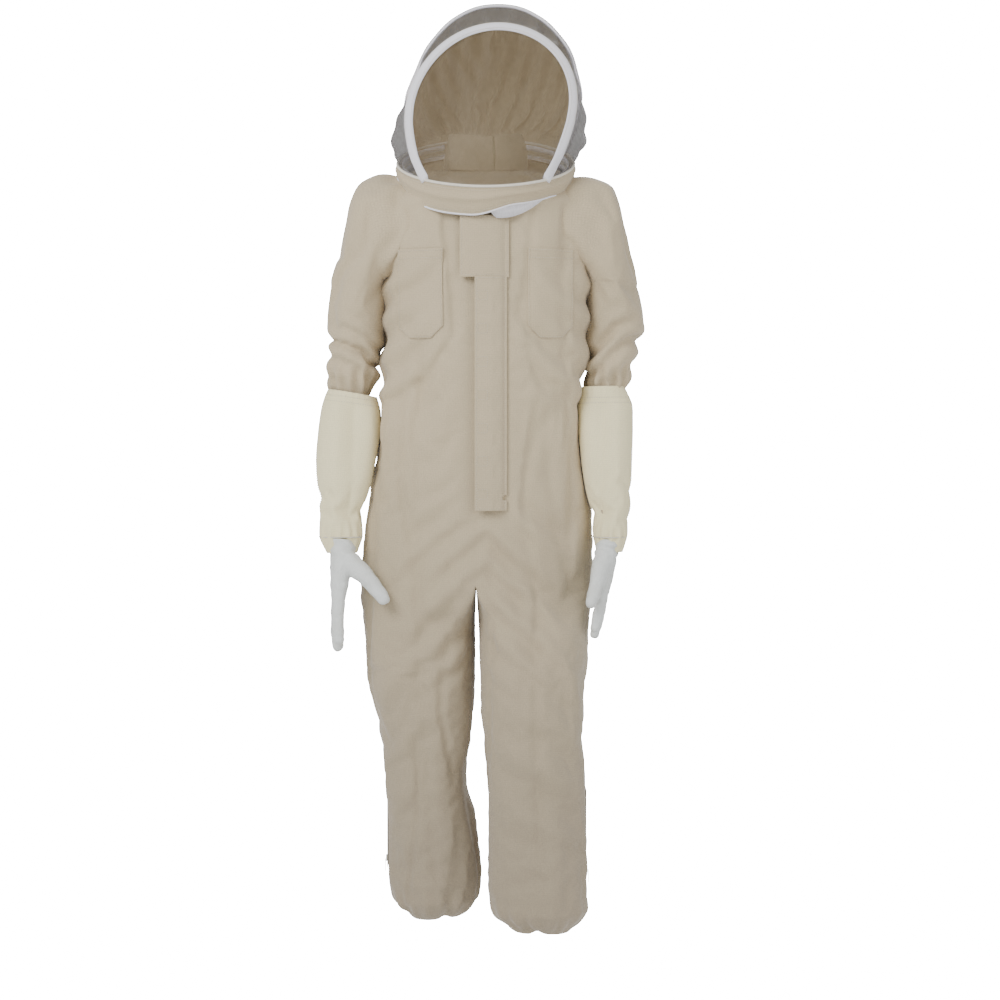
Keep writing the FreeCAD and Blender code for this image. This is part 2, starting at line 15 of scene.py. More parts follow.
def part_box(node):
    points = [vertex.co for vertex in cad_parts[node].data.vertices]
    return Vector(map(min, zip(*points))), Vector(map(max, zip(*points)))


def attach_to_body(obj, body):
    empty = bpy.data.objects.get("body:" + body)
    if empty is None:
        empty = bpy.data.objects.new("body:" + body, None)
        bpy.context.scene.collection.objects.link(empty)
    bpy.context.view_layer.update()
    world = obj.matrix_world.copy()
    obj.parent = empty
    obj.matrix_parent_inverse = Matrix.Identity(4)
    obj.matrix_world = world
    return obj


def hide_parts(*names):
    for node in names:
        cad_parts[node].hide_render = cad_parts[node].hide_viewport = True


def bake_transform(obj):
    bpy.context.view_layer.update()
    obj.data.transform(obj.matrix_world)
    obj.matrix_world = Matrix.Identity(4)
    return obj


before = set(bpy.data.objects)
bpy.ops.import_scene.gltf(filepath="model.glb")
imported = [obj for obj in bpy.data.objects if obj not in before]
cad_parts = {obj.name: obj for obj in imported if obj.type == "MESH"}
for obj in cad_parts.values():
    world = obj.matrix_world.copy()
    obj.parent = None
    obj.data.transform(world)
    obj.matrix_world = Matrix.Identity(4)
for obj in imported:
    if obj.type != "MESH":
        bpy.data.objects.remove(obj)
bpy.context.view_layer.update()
SIDES = {"left": 1, "right": -1}


# ------------------------------------------------------------------ numbers

def smooth_rows(rows, parameter):
    """Rows of numbers, keyed by their first column, read along a smooth curve that never overshoots them."""
    table = np.array(sorted(rows), float)
    key, values = table[:, 0], table[:, 1:]
    parameter = np.atleast_1d(np.clip(parameter, key[0], key[-1]))
    k = np.clip(np.searchsorted(key, parameter) - 1, 0, len(key) - 2)
    gap = np.diff(key)
    slope = np.diff(values, axis=0) / gap[:, None]
    tangent = np.zeros_like(values)
    tangent[0], tangent[-1] = slope[0], slope[-1]
    same_way = slope[:-1] * slope[1:] > 0
    mean = 2 * slope[:-1] * slope[1:] / np.where(same_way, slope[:-1] + slope[1:], 1)
    tangent[1:-1] = np.where(same_way, mean, 0)
    step = gap[k]
    u = ((parameter - key[k]) / step)[:, None]
    step = step[:, None]
    return ((1 + 2 * u) * (1 - u) ** 2 * values[k] + u * (1 - u) ** 2 * step * tangent[k]
            + u * u * (3 - 2 * u) * values[k + 1] + u * u * (u - 1) * step * tangent[k + 1])


def ramp(value, low, high):
    """0 below low, 1 above high and a smooth step between. low may be the larger one."""
    t = np.clip((value - low) / (high - low), 0, 1)
    return t * t * (3 - 2 * t)


def resample(points, count, closed=True):
    """count points at even steps along a polyline."""
    points = np.asarray(points, float)
    loop = np.vstack([points, points[:1]]) if closed else points
    length = np.r_[0, np.cumsum(np.linalg.norm(np.diff(loop, axis=0), axis=1))]
    at = np.linspace(0, length[-1], count + 1)[:-1] if closed else np.linspace(0, length[-1], count)
    return np.column_stack([np.interp(at, length, loop[:, k]) for k in range(loop.shape[1])])


def superellipse(angle, power):
    """Unit points: power 2 is a circle, and a higher one is boxier."""
    c, s = np.cos(angle), np.sin(angle)
    return np.sign(c) * np.abs(c) ** (2 / power), np.sign(s) * np.abs(s) ** (2 / power)


def noise_at(points, scale, seed):
    """Smooth noise between about -1 and 1 at each point. scale is per metre, one number per axis."""
    scaled = np.asarray(points) * np.asarray(scale) + seed * 7.31
    return np.array([noise.noise(Vector(p)) for p in scaled])


# ------------------------------------------------------------------ meshes

def new_object(name, points, faces, uv=None, smooth=True):
    mesh = bpy.data.meshes.new(name)
    mesh.from_pydata([tuple(p) for p in points], [], [tuple(f) for f in faces])
    if uv is not None:
        layer = mesh.uv_layers.new(name="cloth")
        corner = np.empty(len(mesh.loops), int)
        mesh.loops.foreach_get("vertex_index", corner)
        layer.data.foreach_set("uv", np.asarray(uv, np.float32)[corner].ravel())
    mesh.update()
    if smooth:
        mesh.shade_smooth()
    obj = bpy.data.objects.new(name, mesh)
    bpy.context.scene.collection.objects.link(obj)
    return obj


def grid_faces(rows, columns, closed=True, start=0):
    """Quads of a grid of rows by columns points. A closed grid joins its last column to its first."""
    faces = []
    for r in range(rows - 1):
        for c in range(columns if closed else columns - 1):
            d = (c + 1) % columns
            a = start + r * columns
            faces.append((a + c, a + d, a + columns + d, a + columns + c))
    return faces


def points_of(obj):
    co = np.empty(len(obj.data.vertices) * 3, np.float32)
    obj.data.vertices.foreach_get("co", co)
    return co.reshape(-1, 3).astype(float)


def set_points(obj, points):
    obj.data.vertices.foreach_set("co", np.asarray(points, np.float32).ravel())
    obj.data.update()


def normals_of(obj):
    normals = np.empty(len(obj.data.vertices) * 3, np.float32)
    obj.data.vertices.foreach_get("normal", normals)
    return normals.reshape(-1, 3).astype(float)


def modify(obj, kind, **settings):
    modifier = obj.modifiers.new(kind.lower(), kind)
    for key, value in settings.items():
        setattr(modifier, key, value)
    return modifier


def apply_modifiers(obj):
    """Bakes every modifier of obj into its mesh."""
    graph = bpy.context.evaluated_depsgraph_get()
    mesh = bpy.data.meshes.new_from_object(obj.evaluated_get(graph), depsgraph=graph)
    obj.modifiers.clear()
    old = obj.data
    obj.data = mesh
    bpy.data.meshes.remove(old)
    mesh.shade_smooth()


def join(name, objects):
    """One object from several, materials kept."""
    for obj in bpy.context.selected_objects:
        obj.select_set(False)
    for obj in objects:
        obj.select_set(True)
    bpy.context.view_layer.objects.active = objects[0]
    bpy.ops.object.join()
    joined = bpy.context.view_layer.objects.active
    joined.name = name
    return joined


def wrinkle(obj, goal, growth, frames=18, bending=0.6, gravity=1.0, quality=5):
    """Runs Blender's Cloth on obj and applies it. The cloth grows by growth, and goal (0 to 1 per vertex)
    says how firmly each vertex keeps its place; 1 is pinned."""
    group = obj.vertex_groups.new(name="goal")
    for level in np.unique(np.round(goal, 2)):
        chosen = np.nonzero(np.round(goal, 2) == level)[0]
        group.add([int(v) for v in chosen], float(level), "REPLACE")
    cloth = modify(obj, "CLOTH")
    settings = cloth.settings
    settings.quality = quality
    settings.mass = 0.2
    settings.tension_stiffness = settings.compression_stiffness = 20
    settings.shear_stiffness = 12
    settings.bending_stiffness = bending
    settings.tension_damping = settings.compression_damping = settings.shear_damping = 8
    settings.air_damping = 2
    settings.vertex_group_mass = "goal"
    settings.pin_stiffness = 1.0
    settings.shrink_min = settings.shrink_max = -growth
    settings.effector_weights.gravity = gravity
    cloth.collision_settings.use_collision = False
    scene = bpy.context.scene
    cloth.point_cache.frame_start, cloth.point_cache.frame_end = 1, frames
    for step in range(1, frames + 1):
        scene.frame_set(step)
    apply_modifiers(obj)
    scene.frame_set(1)
    obj.vertex_groups.clear()


def split(obj, name, chosen):
    """A copy of the faces of obj whose centres chosen() accepts. It keeps the whole mesh's normals at its
    new edges, so that the two sides of a cut shade as one."""
    source = obj.data
    normals = normals_of(obj)
    centres = np.empty(len(source.polygons) * 3, np.float32)
    source.polygons.foreach_get("center", centres)
    keep = chosen(centres.reshape(-1, 3).astype(float))
    piece = obj.copy()
    piece.data = source.copy()
    piece.name = piece.data.name = name
    bpy.context.scene.collection.objects.link(piece)
    layer = piece.data.attributes.new("whole_normal", "FLOAT_VECTOR", "POINT")
    layer.data.foreach_set("vector", normals.astype(np.float32).ravel())
    bm = bmesh.new()
    bm.from_mesh(piece.data)
    bm.faces.ensure_lookup_table()
    bmesh.ops.delete(bm, geom=[bm.faces[k] for k in np.nonzero(~keep)[0]], context="FACES")
    bm.to_mesh(piece.data)
    bm.free()
    kept = np.empty(len(piece.data.vertices) * 3, np.float32)
    piece.data.attributes["whole_normal"].data.foreach_get("vector", kept)
    piece.data.normals_split_custom_set_from_vertices(kept.reshape(-1, 3))
    piece.data.attributes.remove(piece.data.attributes["whole_normal"])
    return piece


# ------------------------------------------------------------------ materials

def material(name, colour, roughness=0.85):
    """A new material with its node tree, and a small helper that adds linked nodes to it."""
    mat = bpy.data.materials.new(name)
    mat.use_nodes = True
    tree = mat.node_tree
    shader = tree.nodes["Principled BSDF"]
    shader.inputs["Base Color"].default_value = (*colour, 1)
    shader.inputs["Roughness"].default_value = roughness

    def add(kind, inputs=None, **properties):
        node = tree.nodes.new(kind)
        for key, value in properties.items():
            setattr(node, key, value)
        for key, value in (inputs or {}).items():
            if isinstance(value, bpy.types.NodeSocket):
                tree.links.new(value, node.inputs[key])
            else:
                node.inputs[key].default_value = value
        return node

    return mat, shader, add, tree.links.new


def mix_colours(add, factor, first, second, blend="MIX"):
    """The colour output of a mix of two colours, each a tuple or a socket."""
    node = add("ShaderNodeMix", data_type="RGBA", blend_type=blend)
    for socket, value in ((node.inputs[0], factor), (node.inputs[6], first), (node.inputs[7], second)):
        if isinstance(value, bpy.types.NodeSocket):
            node.id_data.links.new(value, socket)
        else:
            socket.default_value = value if isinstance(value, float) else (*value, 1)
    return node.outputs[2]


def woven(name, colour, thread=0.0011, fuzz=0.3, wear=0.07, crumple=0.22, mapped=True, soil_and_low_shade=None):
    """Plain-weave cloth. thread is the width of one yarn in metres. It reads the cloth map, which is in
    metres, or with mapped off the object's own space. The last colour, when given, is painted shade: a
    grey tint that deepens from the hips down and darkens the lower cloth."""
    mat, shader, add, link = material(name, colour, 0.88)
    place = add("ShaderNodeTexCoord")
    cloth_map = add("ShaderNodeUVMap", uv_map="cloth").outputs[0] if mapped else place.outputs["Object"]
    waves = []
    for direction in ("X", "Y"):
        waves.append(add("ShaderNodeTexWave", {
            "Vector": cloth_map, "Scale": 0.1 / thread, "Distortion": 1.4, "Detail": 1.0, "Detail Scale": 1.2,
        }, bands_direction=direction).outputs["Fac"])
    weave = add("ShaderNodeMath", {0: waves[0], 1: waves[1]}, operation="MULTIPLY").outputs[0]
    slub = add("ShaderNodeTexNoise", {"Vector": cloth_map, "Scale": 420.0, "Detail": 3.0}).outputs["Fac"]
    patches = add("ShaderNodeTexNoise", {
        "Vector": place.outputs["Object"], "Scale": 6.0, "Detail": 4.0,
    }).outputs["Fac"]
    dark = tuple(c * (1 - wear) for c in colour)
    light = tuple(min(1.0, c * (1 + 0.6 * wear)) for c in colour)
    patch_range = add("ShaderNodeMapRange", {"Value": patches, "From Min": 0.3, "From Max": 0.7}).outputs[0]
    base = mix_colours(add, patch_range, dark, light)
    yarn = mix_colours(add, weave, tuple(c * 0.86 for c in colour), tuple(min(1.0, c * 1.06) for c in colour))
    base = mix_colours(add, 0.45, base, yarn)
    speckle = add("ShaderNodeMapRange", {"Value": slub, "From Min": 0.35, "From Max": 0.65, "To Min": 0.94,
                                         "To Max": 1.05}).outputs[0]
    base = mix_colours(add, 1.0, base, speckle, "MULTIPLY")
    # painted shade: a grey tint multiplied into the colour, none above the hips and deepest at the feet,
    # darkens the lower cloth
    if soil_and_low_shade:
        height = add("ShaderNodeSeparateXYZ", {"Vector": place.outputs["Object"]}).outputs["Z"]
        low = add("ShaderNodeMapRange", {"Value": height, "From Min": 0.95, "From Max": 0.15}).outputs[0]
        low_shade_tint = mix_colours(add, low, (1, 1, 1), soil_and_low_shade)
        base = mix_colours(add, 1.0, base, low_shade_tint, "MULTIPLY")
    link(base, shader.inputs["Base Color"])
    shader.inputs["Sheen Weight"].default_value = fuzz
    shader.inputs["Sheen Roughness"].default_value = 0.5
    shader.inputs["Specular IOR Level"].default_value = 0.2
    creases = add("ShaderNodeTexNoise", {
        "Vector": place.outputs["Object"], "Scale": 15.0, "Detail": 4.0, "Roughness": 0.5, "Distortion": 0.8,
    }).outputs["Fac"]
    broad = add("ShaderNodeBump", {"Height": creases, "Strength": crumple, "Distance": 0.004}).outputs[0]
    fine = add("ShaderNodeBump", {
        "Height": weave, "Strength": 0.25, "Distance": 0.0004, "Normal": broad,
    }).outputs[0]
    link(fine, shader.inputs["Normal"])
    return mat


def paint(obj, mat):
    obj.data.materials.clear()
    obj.data.materials.append(mat)
    return obj


def attach(piece, body, nodes=()):
    """Hangs a finished piece on the body it rides on and hides the model's nodes it stands for."""
    if nodes:
        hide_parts(*nodes)
    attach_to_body(piece, body)


KHAKI = (0.545, 0.455, 0.308)
# the khaki cloth carries painted shade: a grey tint that darkens it from the hips down
khaki = woven("khaki_polycotton", KHAKI, soil_and_low_shade=(0.66, 0.66, 0.70))


# ------------------------------------------------------------------ the round zip's frame

RING = Vector((0, -0.012, 1.452))
TILT = math.radians(24)
RING_RADIUS = 0.160
RING_NORMAL = Vector((0, -math.sin(TILT), math.cos(TILT)))
RING_FORWARD = Vector((0, -math.cos(TILT), -math.sin(TILT)))


def ring_point(angle, radius, height):
    """A point about the neck zip: angle 0 is the front and positive is towards the wearer's left."""
    return (RING + Vector((math.sin(angle) * radius, 0, 0)) + RING_FORWARD * (math.cos(angle) * radius)
            + RING_NORMAL * height)


def ring_height(points):
    """How far points lie above the plane of the round zip."""
    return (np.asarray(points) - np.array(RING)) @ np.array(RING_NORMAL)


# ------------------------------------------------------------------ coverall

# height, half width, front, back, boxiness, middle y, pitch in degrees, sideways lean
BODY = [
    (1.440, 0.158, 0.158, 0.158, 2.0, -0.012, 24, 0.000),
    (1.428, 0.176, 0.150, 0.150, 2.1, -0.011, 22, 0.000),
    (1.405, 0.192, 0.134, 0.136, 2.3, -0.009, 15, 0.000),
    (1.370, 0.199, 0.124, 0.130, 2.5, -0.006, 7, 0.000),
    (1.320, 0.201, 0.124, 0.126, 2.6, -0.006, 1, 0.000),
    (1.150, 0.200, 0.130, 0.128, 2.6, 0.000, 0, 0.000),
    (1.050, 0.195, 0.126, 0.122, 2.6, -0.004, 0, -0.006),
    (0.945, 0.189, 0.122, 0.114, 2.5, -0.008, 0, -0.014),
    (0.835, 0.212, 0.132, 0.133, 2.5, 0.002, 0, -0.014),
    (0.740, 0.221, 0.134, 0.136, 2.5, 0.004, 0, -0.016),
    (0.655, 0.224, 0.130, 0.128, 2.4, 0.000, 0, -0.018),
]
# height, middle x, half width, half depth, middle y, stride share
LEG = {
    "right": [
        (0.655, 0.130, 0.108, 0.126, 0.000, 0.25),
        (0.560, 0.127, 0.107, 0.116, -0.012, 0.42),
        (0.470, 0.123, 0.103, 0.106, -0.026, 0.62),
        (0.400, 0.117, 0.092, 0.098, -0.034, 0.75),
        (0.355, 0.115, 0.088, 0.092, -0.036, 0.80),
        (0.277, 0.112, 0.082, 0.086, -0.038, 0.88),
        (0.160, 0.100, 0.083, 0.086, -0.042, 0.96),
        (0.085, 0.097, 0.086, 0.085, -0.045, 1.00),
        (0.045, 0.098, 0.083, 0.081, -0.046, 1.00),
        (0.022, 0.098, 0.074, 0.073, -0.047, 1.00),
        (0.008, 0.098, 0.062, 0.062, -0.047, 1.00),
        (0.000, 0.099, 0.052, 0.052, -0.047, 1.00),
    ],
    "left": [
        (0.655, 0.094, 0.108, 0.126, 0.000, 0.25),
        (0.560, 0.094, 0.107, 0.116, -0.012, 0.42),
        (0.470, 0.094, 0.104, 0.106, -0.026, 0.62),
        (0.400, 0.094, 0.099, 0.098, -0.034, 0.75),
        (0.355, 0.094, 0.095, 0.092, -0.036, 0.80),
        (0.277, 0.098, 0.095, 0.090, -0.038, 0.88),
        (0.160, 0.102, 0.093, 0.088, -0.042, 0.96),
        (0.085, 0.103, 0.092, 0.087, -0.045, 1.00),
        (0.045, 0.105, 0.088, 0.084, -0.046, 1.00),
        (0.022, 0.106, 0.078, 0.075, -0.047, 1.00),
        (0.008, 0.106, 0.065, 0.063, -0.047, 1.00),
        (0.000, 0.106, 0.053, 0.053, -0.047, 1.00),
    ],
}
# each gauntlet: height, middle x, half width, half depth, middle y
GAUNTLET = {
    "right": [
        (1.022, 0.2600, 0.0460, 0.0490, -0.010),
        (1.008, 0.2600, 0.0520, 0.0510, -0.013),
        (0.985, 0.2610, 0.0570, 0.0530, -0.018),
        (0.950, 0.2620, 0.0590, 0.0540, -0.025),
        (0.900, 0.2670, 0.0570, 0.0520, -0.034),
        (0.860, 0.2705, 0.0530, 0.0490, -0.042),
        (0.825, 0.2735, 0.0475, 0.0450, -0.048),
        (0.795, 0.2765, 0.0425, 0.0410, -0.053),
        (0.745, 0.2775, 0.0395, 0.0370, -0.059),
        (0.714, 0.2755, 0.0290, 0.0320, -0.062),
    ],
    "left": [
        (1.034, 0.2245, 0.0420, 0.0480, -0.010),
        (1.020, 0.2275, 0.0465, 0.0500, -0.012),
        (0.995, 0.2310, 0.0525, 0.0520, -0.017),
        (0.955, 0.2310, 0.0520, 0.0520, -0.026),
        (0.900, 0.2325, 0.0480, 0.0500, -0.037),
        (0.860, 0.2335, 0.0450, 0.0470, -0.043),
        (0.780, 0.2370, 0.0345, 0.0390, -0.055),
        (0.745, 0.2385, 0.0300, 0.0350, -0.060),
        (0.716, 0.2375, 0.0235, 0.0300, -0.062),
    ],
}
STRIDE = {"left": -0.052, "right": 0.044}
CROTCH, WAIST = 0.655, 0.945
# where the insides of the legs meet
FORK_X = -0.0165
CLOTH_CELL = 0.0095
HALF_RING, FORK = 62, 26


def body_ring(height):
    """Points round the body at a height: front centre, wearer's left, back centre, wearer's right."""
    w, front, back, power, middle, pitch, lean = smooth_rows(BODY, height)[0]
    angle = np.linspace(-math.pi / 2, math.pi / 2, 200)
    x, y = superellipse(angle, power)
    half = resample(np.column_stack([w * x, np.where(y < 0, front, back) * y]), HALF_RING + 1, closed=False)
    half[0, 0] = half[-1, 0] = 0
    ring = np.vstack([half, half[-2:0:-1] * (-1, 1)])
    lift = math.tan(math.radians(pitch))
    flat = math.cos(math.radians(pitch)) if pitch > 0.1 else 1.0
    return np.column_stack([ring[:, 0] + lean, middle + ring[:, 1] * flat, height + ring[:, 1] * flat * lift])


def leg_ring(height, word, side, waist_half):
    """Points round one leg: from the fork's front end, round the outside to its back end and in along it."""
    x, w, d, y, share = smooth_rows(LEG[word], height)[0]
    angle = np.radians(np.linspace(-128, 128, 220))
    outer_x, outer_y = superellipse(angle, 2.25)
    outer = resample(np.column_stack([w * outer_x, d * outer_y]), HALF_RING + 1, closed=False)
    angle = np.radians(np.linspace(128, 232, 120))
    inner_x, inner_y = superellipse(angle, 2.25)
    inner = resample(np.column_stack([w * inner_x, d * inner_y]), FORK + 1, closed=False)[1:-1]
    ring = np.vstack([outer, inner]) + (x, y + share * STRIDE[word])
    fork = np.linspace(waist_half[-1], waist_half[0], FORK + 1)[1:-1]
    flat = np.vstack([waist_half, fork])
    blend = ramp(height, CROTCH, CROTCH - 0.10)
    ring[:, 0] = ring[:, 0] * side
    ring = ring * blend + flat * (1 - blend)
    return np.column_stack([ring, np.full(len(ring), height)])


def coverall_mesh():
    """The body and both legs as one mesh, and each vertex's cloth map in metres."""
    top, rows = BODY[0][0], int((BODY[0][0] - CROTCH) / CLOTH_CELL)
    heights = np.linspace(top, CROTCH, rows + 1)
    count = 2 * HALF_RING
    points = [body_ring(z) for z in heights]
    uv = [np.column_stack([np.arange(count) * CLOTH_CELL, np.full(count, z)]) for z in heights]
    faces = grid_faces(rows + 1, count)
    start = (rows + 1) * count
    last = rows * count
    crotch = points[-1]
    leg_rows = int(CROTCH / CLOTH_CELL)
    leg_heights = np.linspace(CROTCH, 0, leg_rows + 1)[1:]
    left_half = list(range(last, last + HALF_RING + 1))
    right_half = [last] + [last + count - k for k in range(1, HALF_RING)] + [last + HALF_RING]
    fork_points = np.linspace(crotch[HALF_RING], crotch[0], FORK + 1)[1:-1]
    fork_ids = list(range(start, start + FORK - 1))
    points.append(fork_points)
    uv.append(np.column_stack([np.arange(FORK - 1) * CLOTH_CELL, np.full(FORK - 1, CROTCH)]))
    start += FORK - 1
    for word, side in SIDES.items():
        half = left_half if side > 0 else right_half
        above = half + fork_ids
        flat = np.array([crotch[k - last, :2] for k in half])
        size = len(above)
        for z in leg_heights:
            ring = leg_ring(z, word, side, flat)
            points.append(ring)
            uv.append(np.column_stack([np.arange(size) * CLOTH_CELL, np.full(size, z)]))
            here = list(range(start, start + size))
            for k in range(size):
                n = (k + 1) % size
                quad = (above[k], above[n], here[n], here[k])
                faces.append(quad if side > 0 else quad[::-1])
            above, start = here, start + size
    return np.vstack(points), faces, np.vstack(uv)


def pleats(points, centre, count, depth):
    """Radial folds round a vertical axis: how far each point moves out, with depth per point."""
    angle = np.arctan2(points[:, 1] - centre[1], points[:, 0] - centre[0])
    wobble = 0.5 * noise_at(np.column_stack([np.cos(angle), np.sin(angle), points[:, 2] * 4]), 2.2, 3)
    return depth * np.sin(count * angle + 2.4 * wobble)


ZIP_LOW = 0.80


def press_in(points):
    """Moves cloth out of the way of the gauntlets, which rest on the hips."""
    moved = points.copy()
    for word, side in SIDES.items():
        table = smooth_rows(GAUNTLET[word], points[:, 2])
        middle, half, depth, y = table.T
        inside = 1 - ((points[:, 1] - y) / (depth + 0.004)) ** 2
        edge = middle - (half + 0.003) * np.sqrt(np.clip(inside, 0, 1))
        deep = (inside > 0) & (side * points[:, 0] > edge) & (points[:, 2] > 0.735) & (points[:, 2] < 1.04)
        moved[deep, 0] = side * edge[deep]
    return moved


def reach_zips(points):
    """Brings the outside of each shin to the ankle zip that is sewn on it."""
    moved = points.copy()
    x, y, z = points.T
    for word, side in SIDES.items():
        low, high = (np.array(corner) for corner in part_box(f"ankle_zip_{word}"))
        face = min(abs(low[0]), abs(high[0])) - 0.0008
        beside = ramp(np.abs(y - (low[1] + high[1]) / 2), 0.050, 0.016) * (side * x > 0.13)
        beside = beside * ramp(z, low[2] - 0.06, low[2] - 0.012) * ramp(z, high[2] + 0.07, high[2])
        moved[:, 0] += side * (face - side * x) * beside
    return moved


def build_coverall():
    points, faces, uv = coverall_mesh()
    obj = new_object("coverall_cloth", points, faces, uv)
    normal = normals_of(obj)
    x, y, z = points.T
    # depth below the round zip, which holds the cloth; and nearness to the front zip, which keeps it flat
    below = -ring_height(points)
    at_rim = ramp(below, 0.050, 0.022) * (z > 1.25)
    at_zip = ramp(np.abs(x), 0.075, 0.034) * ramp(z, ZIP_LOW - 0.05, ZIP_LOW + 0.01) * (y < 0)
    out = 0.009 * noise_at(points, (9, 9, 2.4), 1) + 0.004 * noise_at(points, (20, 20, 7), 2)
    # sharper creases that run mostly up and down, and others that slant in from the underarms
    crease = 1 - np.abs(noise_at(points + 0.02 * noise_at(points, (6, 6, 3), 12)[:, None], (13, 13, 2.2), 13))
    out += 0.0075 * (ramp(crease, 0.80, 1.0) - 0.25)
    slant_way = (z - 1.24) * 0.80 + (np.abs(x) - 0.19) * 0.60
    slanting = np.sin(slant_way * 118 + 2.5 * noise_at(points, (7, 7, 7), 15))
    out += 0.0050 * slanting * ramp(np.abs(x), 0.07, 0.16) * ramp(z, 0.98, 1.06) * ramp(z, 1.30, 1.22)
    # drawn-in cloth over the waist elastic, at the sides and the back
    sides_and_back = np.maximum(ramp(np.abs(x), 0.10, 0.15), ramp(y, 0.02, 0.06))
    near_waist = np.exp(-((z - WAIST) / 0.034) ** 2) * sides_and_back
    out += pleats(points, (0, 0), 58, 0.0052 * near_waist) - 0.006 * near_waist
    # slack folds that fan up and down from the crotch and the hips
    fork = ramp(z, 0.86, 0.74) * ramp(z, 0.42, 0.56) * (y < 0.03)
    out += 0.0055 * fork * np.sin((np.abs(x - 0.004) * 0.55 + (z - 0.66) * 0.62) * 150
                                  + 2.0 * noise_at(points, (7, 7, 5), 8)) * ramp(np.abs(x), 0.20, 0.05)
    # a pressed crease down the front of each leg
    for word, side in SIDES.items():
        table = smooth_rows(LEG[word], np.clip(z, 0, 0.655))
        across = x - side * table[:, 0]
        crease = np.exp(-(across / 0.010) ** 2) * ramp(z, 0.62, 0.54) * ramp(z, 0.06, 0.12) * (y < 0)
        out += 0.006 * crease * (x * side > 0)
        middle = (side * table[-1, 0], -0.047 + STRIDE[word])
        leg = (x * side > 0) & (z < 0.5)
        gather = np.exp(-((z - 0.030) / 0.036) ** 2) * ramp(z, 0.0, 0.012) * leg
        out += pleats(points, middle, 15, 0.0030 * gather)
        fold = ramp(z, 0.60, 0.48) * ramp(z, 0.06, 0.20) * leg
        slant = (z + 0.62 * side * (x - side * 0.1) + 0.12 * y) * 58
        facing = ramp(np.abs(across) / table[:, 1], 0.98, 0.55)
        out += 0.0052 * fold * facing * np.sin(slant + 3.4 * noise_at(points, (6, 6, 5), 5)) * ramp(
            noise_at(points, (5, 5, 3.5), 6 + side), -0.2, 0.4)
    # the insides of the legs lie against each other below the fork
    out *= 1 - ramp(z, 0.69, 0.65) * ramp(z, 0.40, 0.46) * ramp(np.abs(x - FORK_X), 0.034, 0.014)
    set_points(obj, points + normal * (out * (1 - at_rim) * (1 - 0.9 * at_zip))[:, None])
    goal = 0.09 + 0.22 * ramp(z, 0.66, 0.50)
    sides = ramp(np.abs(x), 0.13, 0.19) * ramp(z, 0.92, 0.86) * ramp(z, 0.42, 0.50)
    held = (
        at_rim,
        0.85 * at_zip,
        0.35 * sides,
        0.30 * ramp(np.abs(x), 0.14, 0.18) * ramp(z, 0.80, 0.86),
        0.30 * ramp(z, 1.22, 1.30) * ramp(np.abs(x), 0.15, 0.18),
        0.60 * ramp(z, 0.74, 0.69) * ramp(np.abs(x - FORK_X), 0.060, 0.030),
        0.60 * np.exp(-((z - WAIST) / 0.012) ** 2) * ramp(np.abs(x), 0.10, 0.14),
        0.45 * ramp(z, 0.14, 0.06),
        ramp(z, 0.030, 0.018),
    )
    wrinkle(obj, np.maximum.reduce((goal, *held)), growth=0.034, gravity=0.8)
    modify(obj, "SMOOTH", factor=0.3, iterations=1)
    apply_modifiers(obj)
    set_points(obj, reach_zips(press_in(points_of(obj))))
    modify(obj, "SUBSURF", levels=1, render_levels=1)
    apply_modifiers(obj)
    return paint(obj, khaki)


coverall = build_coverall()
SEAT_CUT, KNEE_CUT = 0.82, 0.47
torso = split(coverall, "coverall_body", lambda c: c[:, 2] > SEAT_CUT)
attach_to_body(torso, "coverall")
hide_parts("front_panel_left", "front_panel_right", "back_panel", "back_yoke", "seat_front_left",
            "seat_front_right", "seat_back", "waist_elastic")
for word, side in SIDES.items():
    upper = split(coverall, f"trouser_thigh_{word}",
                  lambda c: (c[:, 2] <= SEAT_CUT) & (c[:, 2] > KNEE_CUT) & (c[:, 0] * side > 0))
    lower = split(coverall, f"trouser_shin_{word}", lambda c: (c[:, 2] <= KNEE_CUT) & (c[:, 0] * side > 0))
    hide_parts(f"upper_leg_{word}")
    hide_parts(f"lower_leg_{word}", f"ankle_elastic_{word}")
    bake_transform(upper)
    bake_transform(lower)
bpy.data.objects.remove(coverall)


# ------------------------------------------------------------------ laying pieces on the cloth

def surface_of(*objects):
    """A ray-casting tree over finished meshes."""
    points, faces, start = [], [], 0
    for obj in objects:
        own = points_of(obj)
        points.append(own)
        faces += [tuple(start + v for v in p.vertices) for p in obj.data.polygons]
        start += len(own)
    return BVHTree.FromPolygons([Vector(p) for p in np.vstack(points)], faces)


torso_tree = surface_of(torso)
FRONT = (0, 1, 0)


def lay_on(tree, points, towards, away):
    """Drops points along towards onto the surface, then lifts them by away along its normal."""
    laid = []
    for point in points:
        start = Vector(point) - Vector(towards) * 0.3
        hit, normal, _, _ = tree.ray_cast(start, Vector(towards))
        if hit is None:
            hit, normal, _, _ = tree.find_nearest(Vector(point))
        if normal.dot(Vector(towards)) > 0:
            normal = -normal
        laid.append(hit + normal * away)
    return np.array([tuple(p) for p in laid])


